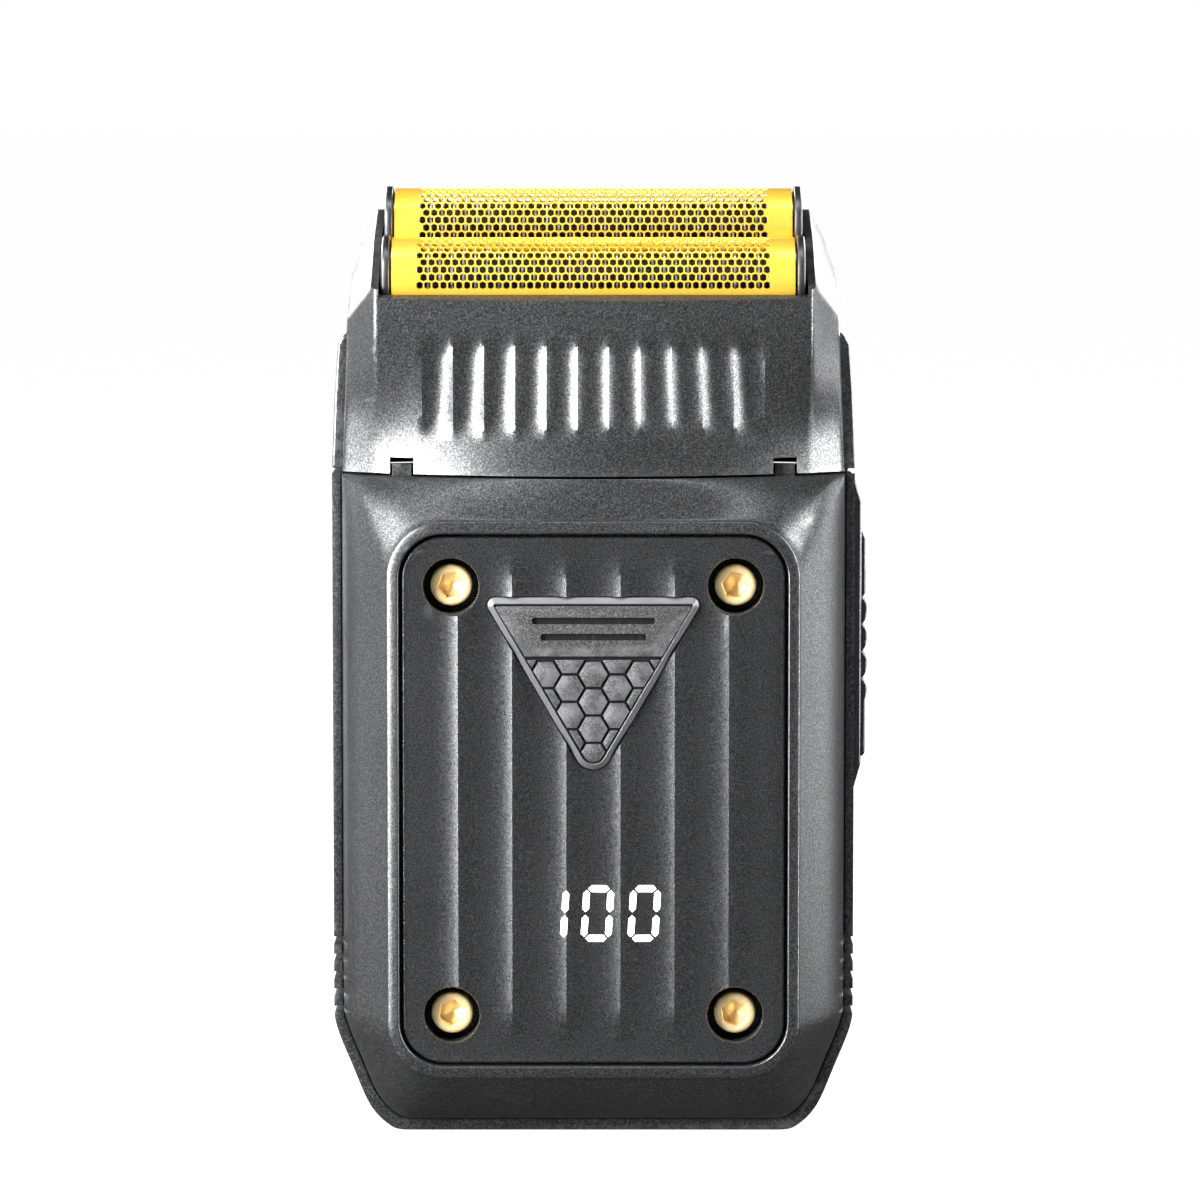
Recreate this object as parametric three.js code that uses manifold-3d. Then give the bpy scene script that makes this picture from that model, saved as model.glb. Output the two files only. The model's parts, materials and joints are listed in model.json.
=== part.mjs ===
// Double foil shaver, in millimetres. +Z up the body, +X to the right seen from the front, front at -Y.
// The origin is the centre of the flat base the shaver stands on.
import * as THREE from "three";
import { mergeVertices } from "three/addons/utils/BufferGeometryUtils.js";
import Module from "manifold-3d";

const wasm = await Module();
wasm.setup();

// Overall sizes
const bodyWidth = 62.2; // rear shell, side to side
const seamHeight = 79.2; // joint between body and head
const frontReach = 15.8; // from the middle plane to the front shell's face, under the bezel
const backReach = 16.5; // from the middle plane to the rear shell's back
const partingY = -4.85; // joint between front and rear shell
const sideStep = 1.2; // the front shell stands in from the rear shell's edge
const wall = 1.8;
const gap = 0.3; // between pieces that meet
const baseHalf = 22.4; // half width of the flat base
const cornerRise = 16.2; // height of the sloped lower corners
const topSag = 9.3; // how far the front bows back at the sides, at the seam

// Bezel, panel and what is in it
const bezelRadius = 6.8;
const bezelDrop = 37.95; // from the seam down to the bezel's middle
const bezelProud = 0.8;
const panelWidth = 45;
const panelHeight = 62.3;
const bezelSide = 1.9; // bezel and gap beside the panel
const bezelEnd = 1.95; // the same above and below it
const panelRadius = 4.9;
const panelFit = 0.35; // gap round the panel
const panelSeatY = -14.1;
const panelBackY = panelSeatY - gap;
const panelFaceY = -16;
const flutePitch = 6.36;
const fluteCount = 5;
const fluteRise = 0.62;
const screwX = 16.7;
const screwDrop = 0.05; // the four screws' middle, below the bezel's
const screwSpan = 50.8;
const screwHeadRadius = 2.45;
const screwHeadHeight = 2.4;
const screwShankRadius = 1.2;
const counterboreRadius = 3.28;
const counterboreDepth = 4.3;
const bossRadius = 4.6;
const socketWidth = 2.8;

// Badge: a plain three-cornered plate with a honeycomb
const badgeWidth = 24.9;
const badgeHeight = 20.3;
const badgeRise = 24.05; // badge's top edge, above the bezel's middle
const badgeBevel = 0.75;
const badgeDepth = 1.1; // set into the panel
const badgeProud = 0.75;
const hexAcross = 2.9;
const hexColumn = 2.8;
const hexRow = 3.23;

// Charge display
const digitHeight = 6.8;
const digitWidth = 3.75;
const digitStroke = 0.9;
const digitSlant = 0.06;
const digitDrop = 13.35; // below the bezel's middle
const digitCentres = [-4.8, 0.48, 5.99];

// Head, built round the tilted line that the foils and cutters work along
const headTilt = THREE.MathUtils.degToRad(26.6);
const foilMidY = -0.25;
const foilRise = 25.7; // from the seam up to the middle of the foil pair
const foilSpacing = 12.4;
const foilRadius = 5;
const foilThickness = 0.2;
const foilLength = 47.5;
const foilSkirt = 3;
const capThickness = 1;
const capRim = 0.25;
const openingFit = 0.15; // front and back, round the caps
const lipLevel = 0.9;
const earLevel = 1.7;
const earWall = 0.9; // at the top edge of the ears
const earDrop = 6.3;
const headStep = 1.1; // the head stands in from the rear shell's edge
const headNarrow = 1.05; // and narrows further to its shoulder
const headFrontY = -14.6;
const headBackY = 15.5;
const lipFrontY = -12.3;
const creaseIn = 4.2; // from the head's side to the crease
const headFluteCount = 11;
const headFlutePitch = 3.67;
const headFluteFrom = 4; // above the seam
const headFluteTo = 17;
const notchHalf = 22.65;
const notchWidth = 2.85;
const notchHeight = 1.9;

// Drive
const springIn = 0.15; // from the foil's end to its spring
const plugLength = 1.4; // end cap inside the foil
const capFit = 0.2; // between foil and flange
const bladePitch = 1.39;
const bladeThickness = 0.36;
const bladeRadius = 4.5;
const cutterStroke = 1; // each way
const floatTravel = 1.2;
const postRadius = 1.2;
const driveY = 1; // motor and battery line, front to back
const motorRadius = 8.5;
const motorLength = 24.5;
const motorDrop = 5; // below the seam
const pinRadius = 0.9;
const batteryRadius = 9;
const batteryLength = 35;
const batteryDrop = 3.2; // from the motor down to the battery

// Side controls
const switchLength = 37.4;
const switchDrop = 0.6; // below the seam
const switchHalfDepth = 5.2;
const switchProud = 0.85;
const thumbRise = 3.7; // above the switch's lower end
const thumbLength = 26.7;
const thumbProud = 1.55;
const gripCount = 4;
const gripPitch = 3.25;
const gripRise = 6.7; // above the slider's lower end
const slideTravel = 3.5;
const buttonRise = 16.2; // above the seam
const buttonHalfDepth = 5;
const buttonTravel = 1;
const ventCount = 5;
const ventPitch = 2.1;
const ventHeight = 0.95;
const ventLow = 14.1;

const half = bodyWidth / 2;
const frontHalf = half - sideStep;
const bodyTop = seamHeight - gap / 2;
const headLow = seamHeight + gap / 2;
const bezelMid = seamHeight - bezelDrop;
const screwMid = bezelMid - screwDrop;
const badgeTop = bezelMid + badgeRise;
const digitMid = bezelMid - digitDrop;
const screwLow = screwMid - screwSpan / 2;
const screwHigh = screwMid + screwSpan / 2;
const screwPlaces = [
  [-screwX, screwHigh],
  [screwX, screwHigh],
  [-screwX, screwLow],
  [screwX, screwLow],
];
const bezelWidth = panelWidth + 2 * bezelSide;
const bezelHeight = panelHeight + 2 * bezelEnd;
const headHalf = half - headStep;
const headShoulder = headHalf - headNarrow;
const creaseHalf = headHalf - creaseIn;
const cavityHalf = headHalf - 1.5 - wall - 0.1;
const foilMidZ = seamHeight + foilRise;
const headFluteLow = seamHeight + headFluteFrom;
const headFluteHigh = seamHeight + headFluteTo;
const flangeIn = foilLength / 2 + capFit;
const openingHalf = flangeIn + capThickness + gap;
const openingDepth = foilSpacing / 2 + foilRadius + capRim + openingFit;
const earHalf = openingHalf + earWall;
const springX = foilLength / 2 - springIn;
const cutterRoom = foilLength / 2 - plugLength - gap - cutterStroke - 0.15;
const bladeCount = 1 + Math.floor((2 * cutterRoom) / bladePitch);
const motorTop = seamHeight - motorDrop;
const batteryLow = motorTop - motorLength - batteryDrop - batteryLength;
// The board stands on the front shell's side of the body, clear of the battery
const boardBackY = Math.min(panelSeatY + 4.4, driveY - batteryRadius - 0.6);
const boardFrontY = boardBackY - 1.2;
const switchHigh = seamHeight - switchDrop;
const switchLow = switchHigh - switchLength;
const thumbLow = switchLow + thumbRise;
const gripLow = thumbLow + gripRise;
const slotLow = thumbLow + 10.5; // where the slider's stem goes through
const buttonHigh = seamHeight + buttonRise;
const buttonIn = half - 3.6;
const tabLow = seamHeight + 3.8; // inner tab of a release button
const buttonSpringZ = seamHeight + 12.4;
const rearPostRadius = 4.2;

const finishes = {
  shell: { color: 0x3f4144, roughness: 0.55, metalness: 0.35 },
  gloss: { color: 0x121315, roughness: 0.15, metalness: 0.1 },
  gold: { color: 0xe2ad2a, roughness: 0.28, metalness: 1 },
  brass: { color: 0xd9ab52, roughness: 0.3, metalness: 1 },
  steel: { color: 0xa9abad, roughness: 0.3, metalness: 1 },
  dark: { color: 0x1b1c1e, roughness: 0.6, metalness: 0 },
  capSteel: { color: 0x55585c, roughness: 0.3, metalness: 0.9 },
  light: { color: 0xf6f6ff, roughness: 0.4, metalness: 0 },
  board: { color: 0x17502e, roughness: 0.5, metalness: 0 },
  cell: { color: 0x2c5f9e, roughness: 0.4, metalness: 0 },
  rubber: { color: 0x222324, roughness: 0.9, metalness: 0 },
  white: { color: 0xdedfe0, roughness: 0.5, metalness: 0 },
};

// Basic solids

function solid(geometry) {
  const plain = geometry.index ? geometry.toNonIndexed() : geometry;
  const bare = new THREE.BufferGeometry();
  bare.setAttribute("position", plain.getAttribute("position"));
  const merged = mergeVertices(bare, 1e-4);
  const triVerts = new Uint32Array(merged.index.array);
  const vertProperties = merged.attributes.position.array;
  const made = new wasm.Manifold(new wasm.Mesh({ numProp: 3, vertProperties, triVerts }));
  if (made.volume() > 0) return made;
  for (let i = 0; i < triVerts.length; i += 3) {
    [triVerts[i + 1], triVerts[i + 2]] = [triVerts[i + 2], triVerts[i + 1]];
  }
  return new wasm.Manifold(new wasm.Mesh({ numProp: 3, vertProperties, triVerts }));
}

const tiltMatrix = new THREE.Matrix4()
  .makeTranslation(0, foilMidY, foilMidZ)
  .multiply(new THREE.Matrix4().makeRotationX(headTilt));

// A solid made in the tilted frame of the head, moved to the body's frame
const tilted = (geometry) => solid(geometry.applyMatrix4(tiltMatrix));

function boxGeometry(x0, x1, y0, y1, z0, z1) {
  const g = new THREE.BoxGeometry(x1 - x0, y1 - y0, z1 - z0);
  return g.translate((x0 + x1) / 2, (y0 + y1) / 2, (z0 + z1) / 2);
}

const box = (...limits) => solid(boxGeometry(...limits));

function rodGeometry(radius, length, axis, centre, sides = 20, tipRadius = radius) {
  const g = new THREE.CylinderGeometry(tipRadius, radius, length, sides);
  if (axis === "x") g.rotateZ(-Math.PI / 2);
  if (axis === "z") g.rotateX(Math.PI / 2);
  return g.translate(...centre);
}

const rod = (...given) => solid(rodGeometry(...given));

// Closed skin through rings of points that all have the same count
function loftGeometry(rings) {
  const count = rings[0].length;
  const points = [];
  const push = (...three) => three.forEach((p) => points.push(...p));
  rings.slice(1).forEach((ring, k) => {
    const before = rings[k];
    for (let i = 0; i < count; i++) {
      const j = (i + 1) % count;
      push(before[i], before[j], ring[j]);
      push(before[i], ring[j], ring[i]);
    }
  });
  [rings[0], rings[rings.length - 1]].forEach((ring, end) => {
    const middle = [0, 1, 2].map((a) => ring.reduce((s, p) => s + p[a], 0) / count);
    for (let i = 0; i < count; i++) {
      const j = (i + 1) % count;
      if (end) push(ring[i], ring[j], middle);
      else push(ring[j], ring[i], middle);
    }
  });
  const g = new THREE.BufferGeometry();
  return g.setAttribute("position", new THREE.Float32BufferAttribute(points, 3));
}

const loft = (rings) => solid(loftGeometry(rings));
const lerp = (a, b, t) => a + (b - a) * t;
const smooth = (t) => t * t * (3 - 2 * t);
const clamp01 = (t) => Math.min(1, Math.max(0, t));

// Outline points [x, z] lifted into a ring at one depth
const atDepth = (outline, y) => outline.map(([x, z]) => [x, y, z]);
const plate = (outline, y0, y1) => loft([atDepth(outline, y0), atDepth(outline, y1)]);

// Right half given from top to bottom, both on the middle plane, made into a whole ring
function mirrored(rightHalf) {
  const left = rightHalf
    .slice(1, -1)
    .reverse()
    .map(([x, ...rest]) => [-x, ...rest]);
  return [...rightHalf, ...left];
}

function arcPoints(cx, cz, r, from, to, count) {
  return Array.from({ length: count }, (_, i) => {
    const a = THREE.MathUtils.degToRad(lerp(from, to, i / (count - 1)));
    return [cx + r * Math.cos(a), cz + r * Math.sin(a)];
  });
}

function roundedOutline(width, height, midZ, radius, steps = 5) {
  const w = width / 2;
  const top = midZ + height / 2;
  const low = midZ - height / 2;
  return mirrored([
    [0, top],
    [(w - radius) * 0.35, top],
    [(w - radius) * 0.7, top],
    ...arcPoints(w - radius, top - radius, radius, 90, 0, steps),
    [w, lerp(top, low, 0.35)],
    [w, midZ],
    [w, lerp(top, low, 0.65)],
    ...arcPoints(w - radius, low + radius, radius, 0, -90, steps),
    [(w - radius) * 0.7, low],
    [(w - radius) * 0.35, low],
    [0, low],
  ]);
}

// The body's outline seen from the front, matching roundedOutline point for point
function bodyOutline(w, low, top) {
  const flat = baseHalf - (half - w) * 0.7;
  const rise = cornerRise - (half - w) * 0.6;
  const run = w - flat;
  const corner = [
    [w, low + rise],
    [w - run * 0.03, low + rise * 0.79],
    [w - run * 0.25, low + rise * 0.485],
    [w - run * 0.49, low + rise * 0.19],
    [w - run * 0.75, low + rise * 0.04],
  ];
  return mirrored([
    [0, top],
    [w * 0.23, top],
    [w * 0.47, top],
    [w * 0.68, top],
    [w * 0.82, top],
    [w * 0.93, top],
    [w, top],
    [w, top - 8],
    [w, lerp(top, low, 0.35)],
    [w, lerp(top, low, 0.5)],
    [w, lerp(top, low, 0.65)],
    ...corner,
    [flat, low],
    [flat * 0.5, low],
    [0, low],
  ]);
}

// Depth of a shell at its top edge: bowed, furthest out on the middle plane
function topDepth(x, w, edge, middle) {
  return middle + (edge - middle) * Math.min(1, (x / w) ** 2);
}

// The same with fuller corners, for the back
function fullDepth(x, w, edge, middle) {
  return edge + (middle - edge) * Math.sqrt(Math.max(0, 1 - (x / w) ** 4));
}

// Rings from a shell's face outline to its parting outline, swelling between them
function shellRings(face, faceY, w, low, top, edgeY, middleY, depth = topDepth) {
  const rim = bodyOutline(w, low, top).map(([x, z]) => {
    const onTop = Math.abs(z - top) < 1e-6;
    return [x, onTop ? depth(x, w, edgeY, middleY) : edgeY, z];
  });
  const rings = [0, 0.2, 0.45, 0.72, 1].map((s) => {
    const t = 0.4 * s + 0.6 * Math.sin((s * Math.PI) / 2);
    return rim.map(([x, y, z], i) => [
      lerp(face[i][0], x, t),
      lerp(faceY, y, s),
      lerp(face[i][1], z, t),
    ]);
  });
  const back = rim.map(([x, , z]) => [x, edgeY + Math.sign(edgeY - faceY) * gap, z]);
  return [...rings, back];
}

function frontFace(inset) {
  return roundedOutline(
    bezelWidth - 2 * inset,
    bezelHeight - 2 * inset,
    bezelMid,
    bezelRadius - inset * 0.6,
  );
}

// Front shell

function frontShell() {
  const edge = partingY - gap / 2 - gap;
  let body = loft(shellRings(frontFace(0), -frontReach, frontHalf, 1.5, bodyTop, edge, headFrontY));
  const rim = roundedOutline(bezelWidth - 0.5, bezelHeight - 0.5, bezelMid, bezelRadius - 0.2);
  const rimTop = roundedOutline(bezelWidth - 1.3, bezelHeight - 1.3, bezelMid, bezelRadius - 0.5);
  body = body.add(
    loft([
      atDepth(rim, -frontReach + 0.4),
      atDepth(rim, -frontReach - bezelProud * 0.6),
      atDepth(rimTop, -frontReach - bezelProud),
    ]),
  );
  const pocket = roundedOutline(
    panelWidth + 2 * panelFit,
    panelHeight + 2 * panelFit,
    bezelMid,
    panelRadius + panelFit,
  );
  body = body.subtract(plate(pocket, -frontReach - 3, panelSeatY));
  const insideFace = frontFace(wall);
  const inside = shellRings(
    insideFace,
    panelSeatY + 1.4,
    frontHalf - wall,
    1.5 + wall,
    bodyTop + 0.05,
    edge,
    headFrontY + wall,
  );
  const last = inside[inside.length - 1].map(([x, , z]) => [x, partingY + 3, z]);
  body = body.subtract(loft([...inside.slice(0, -1), last]));
  for (const [x, z] of screwPlaces) {
    const floor = panelFaceY + counterboreDepth + 1.2;
    body = body.add(rod(bossRadius + 1.6, floor + 1.3 - panelSeatY, "y", [x, (floor + 1.3 + panelSeatY) / 2, z], 24));
    body = body.add(rod(2.9, 6, "y", [x, floor + 3.9, z], 16));
    body = body.subtract(rod(bossRadius + gap, floor - panelSeatY + 2, "y", [x, (floor + panelSeatY - 2) / 2, z], 24));
    body = body.subtract(rod(screwShankRadius + gap, 14, "y", [x, floor + 5, z], 16));
  }
  body = body.subtract(box(-6.4, 9.6, panelSeatY - 1, panelSeatY + 3, digitMid - 4.9, digitMid + 4.9));
  for (const side of [-1, 1]) {
    const y = topDepth(notchHalf, frontHalf, edge, headFrontY);
    const tabHalf = notchWidth / 2 - gap;
    const x = side * notchHalf;
    body = body.add(box(x - tabHalf, x + tabHalf, y + 0.35, y + 1.1, bodyTop - 1, bodyTop + notchHeight - 0.5));
  }
  return body;
}

// Front panel with standing flutes

function fluteHeight(x, z) {
  const span = (fluteCount * flutePitch) / 2;
  const inside = Math.abs(x) <= span;
  const local = inside ? ((x + span) / flutePitch) % 1 : Math.min(1, (Math.abs(x) - span) / flutePitch + 0.5);
  const profile = inside ? (2 * local - 1) ** 2 : (2 * Math.min(1, local + 0.5) - 2) ** 2;
  const side = inside ? profile : clamp01(1 - (2 * (Math.abs(x) - span)) / flutePitch) ** 2;
  const top = bezelMid + panelHeight / 2;
  const low = bezelMid - panelHeight / 2;
  const fade = smooth(clamp01((top - 1 - z) / 5)) * smooth(clamp01((z - low - 1.5) / 5));
  return fluteRise * side * fade;
}

function flutedBlock() {
  const span = (fluteCount * flutePitch) / 2;
  const columns = [-panelWidth / 2 - 2, -span - flutePitch / 2];
  for (let i = 1; i < 4; i++) columns.push(-span - (flutePitch / 2) * (1 - i / 4));
  for (let f = 0; f < fluteCount; f++) {
    for (let i = 0; i < 6; i++) columns.push(-span + flutePitch * (f + i / 6));
  }
  for (let i = 0; i <= 4; i++) columns.push(span + (flutePitch / 2) * (i / 4));
  columns.push(panelWidth / 2 + 2);
  const top = bezelMid + panelHeight / 2;
  const low = bezelMid - panelHeight / 2;
  const rows = [low - 2, low + 1.5, low + 3, low + 5, low + 6.5];
  rows.push(top - 6, top - 4.5, top - 2.5, top - 1, top + 2);
  const front = (x, z) => [x, panelFaceY - fluteHeight(x, z), z];
  const back = (x, z) => [x, panelBackY, z];
  const points = [];
  const quad = (a, b, c, d) => [a, b, c, a, c, d].forEach((p) => points.push(...p));
  const nx = columns.length - 1;
  const nz = rows.length - 1;
  for (let i = 0; i < nx; i++) {
    const [x0, x1] = [columns[i], columns[i + 1]];
    for (let k = 0; k < nz; k++) {
      const [z0, z1] = [rows[k], rows[k + 1]];
      quad(front(x0, z0), front(x1, z0), front(x1, z1), front(x0, z1));
      quad(back(x0, z0), back(x0, z1), back(x1, z1), back(x1, z0));
    }
    quad(front(x0, rows[0]), back(x0, rows[0]), back(x1, rows[0]), front(x1, rows[0]));
    quad(front(x0, rows[nz]), front(x1, rows[nz]), back(x1, rows[nz]), back(x0, rows[nz]));
  }
  for (let k = 0; k < nz; k++) {
    const [z0, z1] = [rows[k], rows[k + 1]];
    quad(front(columns[0], z0), front(columns[0], z1), back(columns[0], z1), back(columns[0], z0));
    quad(front(columns[nx], z0), back(columns[nx], z0), back(columns[nx], z1), front(columns[nx], z1));
  }
  const g = new THREE.BufferGeometry();
  return solid(g.setAttribute("position", new THREE.Float32BufferAttribute(points, 3)));
}

function frontPanel() {
  const outline = roundedOutline(panelWidth, panelHeight, bezelMid, panelRadius, 7);
  let body = flutedBlock().intersect(plate(outline, panelFaceY - 3, panelBackY + 1));
  for (const [x, z] of screwPlaces) {
    const bossEnd = panelFaceY + counterboreDepth + 0.9;
    body = body.add(rod(bossRadius, bossEnd - panelBackY + 0.5, "y", [x, (bossEnd + panelBackY - 0.5) / 2, z], 24));
    body = body.subtract(rod(counterboreRadius, counterboreDepth + 2, "y", [x, panelFaceY + counterboreDepth / 2 - 1, z], 28));
    body = body.subtract(rod(screwShankRadius + gap, 12, "y", [x, panelFaceY + 4, z], 16));
  }
  body = body.subtract(plate(badgeOutline(gap), panelFaceY - 3, panelFaceY + badgeDepth));
  const pocket = box(-6.1, 9.3, panelBackY - 0.8, panelBackY + 1, digitMid - 4.6, digitMid + 4.6);
  body = body.subtract(pocket);
  for (const outline of digitSegments(0.07)) {
    body = body.subtract(plate(outline, panelFaceY - 2, panelBackY));
  }
  return body;
}

// Three-cornered outline, point down, grown outwards by a margin
function badgeOutline(margin) {
  const w = badgeWidth / 2 + margin;
  const top = badgeTop + margin;
  const low = badgeTop - badgeHeight - margin;
  const edge = Math.atan2(badgeHeight + 2.1, badgeWidth / 2);
  const upper = 0.9 + margin;
  const lower = 2.2 + margin;
  const deg = THREE.MathUtils.radToDeg(edge);
  const upperX = w - upper * 1.02;
  return mirrored([
    [0, top],
    ...arcPoints(upperX, top - upper, upper, 90, -(90 - deg), 4),
    ...arcPoints(0, low + lower, lower, -(90 - deg), -90, 4),
  ]);
}

function hexagon(x, z, across) {
  const r = across / Math.sqrt(3);
  return Array.from({ length: 6 }, (_, i) => {
    const a = (i * Math.PI) / 3;
    return [x + r * Math.cos(a), z + r * Math.sin(a)];
  });
}

function badge() {
  const deepY = panelFaceY + badgeDepth - gap;
  const faceY = panelFaceY - badgeProud;
  const flushY = panelFaceY + 0.1;
  const inner = badgeOutline(-badgeBevel);
  let body = loft([atDepth(badgeOutline(0), deepY), atDepth(badgeOutline(0), flushY), atDepth(inner, faceY)]);
  const field = plate(badgeOutline(-badgeBevel - 0.25), faceY - 1, faceY + 1);
  const divide = badgeTop - 6.9;
  const upper = box(-20, 20, faceY - 0.25, faceY + 0.1, divide, badgeTop);
  const slots = [-1, 1].map((k) => {
    const z = badgeTop - 3.65 + k * 0.95;
    return box(-6.6 - k * 0.5, 6.6 + k * 0.5, faceY - 1, faceY + 0.35, z - 0.4, z + 0.4);
  });
  body = body.add(slots.reduce((s, slot) => s.subtract(slot), upper.intersect(field)));
  const cells = box(-20, 20, faceY - 1, faceY + 1, 0, divide - 0.5);
  for (let c = -3; c <= 3; c++) {
    for (let r = 0; r < 6; r++) {
      const z = badgeTop - 9.6 - hexRow * (r - (c % 2 ? 0.5 : 0)) + 0.6;
      const cell = plate(hexagon(c * hexColumn, z, hexAcross), faceY - 0.25, faceY + 0.1);
      const kept = cell.intersect(field).intersect(cells);
      if (kept.volume() > 0.02) body = body.add(kept);
    }
  }
  return body;
}

function segment(x, z, length, upright) {
  const s = digitStroke / 2;
  const l = length / 2;
  const along = [
    [-l, 0],
    [-l + s, s],
    [l - s, s],
    [l, 0],
    [l - s, -s],
    [-l + s, -s],
  ];
  return along.map(([a, b]) => {
    const [dx, dz] = upright ? [b, a] : [a, b];
    const high = z + dz;
    return [x + dx + (high - digitMid) * digitSlant, high];
  });
}

// The lit strokes of the display, each grown by a margin
function digitSegments(margin) {
  const span = digitWidth / 2 - digitStroke / 2;
  const rise = digitHeight / 2 - digitStroke / 2;
  const upright = rise - 0.25;
  const lying = 2 * span - 0.25;
  const strokes = [];
  digitCentres.forEach((x, i) => {
    const sides = i === 0 ? [1] : [-1, 1];
    for (const side of sides) {
      strokes.push([x + side * span, digitMid + rise / 2, upright, true]);
      strokes.push([x + side * span, digitMid - rise / 2, upright, true]);
    }
    if (i > 0) {
      strokes.push([x, digitMid + rise, lying, false]);
      strokes.push([x, digitMid - rise, lying, false]);
    }
  });
  return strokes.map(([x, z, length, isUp]) => {
    const outline = segment(x, z, length, isUp);
    const mid = [0, 1].map((a) => outline.reduce((s, p) => s + p[a], 0) / 6);
    return outline.map(([px, pz]) => {
      const d = Math.hypot(px - mid[0], pz - mid[1]);
      const grow = 1 + margin / Math.min(d, digitStroke);
      return [mid[0] + (px - mid[0]) * grow, mid[1] + (pz - mid[1]) * grow];
    });
  });
}

function displayLens() {
  const backY = panelBackY - 0.1;
  let body = box(-5.8, 9, backY - 0.5, backY, digitMid - 4.3, digitMid + 4.3);
  for (const outline of digitSegments(0)) {
    body = body.add(plate(outline, backY - 0.3, panelFaceY + 0.05));
  }
  return body;
}

function socketScrew(x, z) {
  const floor = panelFaceY + counterboreDepth;
  const topY = floor - gap - screwHeadHeight;
  let body = rod(screwHeadRadius, screwHeadHeight - 0.3, "y", [x, topY + 0.3 + (screwHeadHeight - 0.3) / 2, z], 28);
  body = body.add(rod(screwHeadRadius, 0.3, "y", [x, topY + 0.15, z], 28, screwHeadRadius));
  body = body.add(rod(screwShankRadius, 4.6, "y", [x, floor + 1.9, z], 14));
  const key = plate(hexagon(x, z, socketWidth), topY - 0.5, topY + 1.4);
  return body.subtract(key);
}

// Rear shell

function backFace(inset) {
  return roundedOutline(bezelWidth - 2 * inset, bezelHeight - 2 * inset, bezelMid, 8 - inset * 0.6);
}

// The room inside the rear shell, further in from its outside by an inset
function rearInside(inset) {
  const rings = shellRings(
    backFace(inset),
    backReach - inset,
    half - inset,
    inset,
    bodyTop + 0.05,
    5,
    headBackY - inset,
    fullDepth,
  );
  const mouth = rings[rings.length - 1].map(([x, , z]) => [x, partingY + gap / 2 - 3, z]);
  return loft([...rings.slice(0, -1), mouth]);
}

// What a piece fitted behind the parting plane may fill
const rearRoom = () => rearInside(wall + gap).add(box(-half, half, -40, partingY, 0, bodyTop + 0.05));

function rearShell() {
  const edge = 5;
  const start = partingY + gap / 2;
  const outerRings = shellRings(backFace(0), backReach, half, 0, bodyTop, edge, headBackY, fullDepth);
  const lead = outerRings[outerRings.length - 1].map(([x, , z]) => [x, start, z]);
  let body = loft([...outerRings.slice(0, -1), lead]);
  body = body.subtract(rearInside(wall));
  const postFront = partingY + 1.4;
  for (const [x, z] of screwPlaces) {
    const length = backReach - 1 - postFront;
    body = body.add(rod(3, length, "y", [x, postFront + length / 2, z], 16));
    body = body.add(rod(rearPostRadius, 4.4, "y", [x, backReach - 3.2, z], 20));
    body = body.subtract(rod(2.7, 3.2, "y", [x, backReach - 1.4, z], 20));
    body = body.subtract(rod(screwShankRadius + gap, 40, "y", [x, 5, z], 16));
  }
  for (const side of [-1, 1]) {
    for (let i = 0; i < ventCount; i++) {
      const z = ventLow + i * ventPitch;
      const [x0, x1] = [side * (half - 4), side * (half + 1)].sort((a, b) => a - b);
      body = body.subtract(box(x0, x1, start - 1, 4.2, z, z + ventHeight));
    }
  }
  const seat = half - 0.6 - gap;
  body = body.subtract(
    box(seat, half + 3, -switchHalfDepth + 1.2 - gap, switchHalfDepth + 1.2 + gap, switchLow - gap, switchHigh + 3),
  );
  body = body.subtract(box(half - 4, half + 1, -0.5, 2.9, slotLow, slotLow + 10.6));
  body = body.subtract(box(-4.9, 4.9, 2.6, 6.4, -1, 7.2 + gap));
  body = body.subtract(rod(0.9, 5, "z", [9, 4.5, 1], 12));
  return body;
}

function rearScrew(x, z) {
  const headBack = backReach - 0.9;
  let body = rod(2.3, 1.7, "y", [x, headBack - 0.85, z], 20);
  body = body.add(rod(screwShankRadius, 20.4, "y", [x, headBack - 1.6 - 10.2, z], 12));
  const slotWide = box(x - 1.4, x + 1.4, headBack - 0.9, headBack + 1, z - 0.3, z + 0.3);
  const slotTall = box(x - 0.3, x + 0.3, headBack - 0.9, headBack + 1, z - 1.4, z + 1.4);
  return body.subtract(slotWide).subtract(slotTall);
}

// Deck that closes the body, with the collar the head fits over

function collarOutline(grow, z) {
  const r = 4 + Math.min(0, grow);
  const w = headHalf - 13 + grow;
  const y0 = -8 - grow;
  const y1 = 8.6 + grow;
  const corners = [
    [w - r, y1 - r, 90, 0],
    [w - r, y0 + r, 0, -90],
    [-w + r, y0 + r, -90, -180],
    [-w + r, y1 - r, 180, 90],
  ];
  return corners.flatMap(([cx, cy, from, to]) => arcPoints(cx, cy, r, from, to, 5).map(([x, y]) => [x, y, z]));
}

const collarTop = bodyTop + 6;

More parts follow.
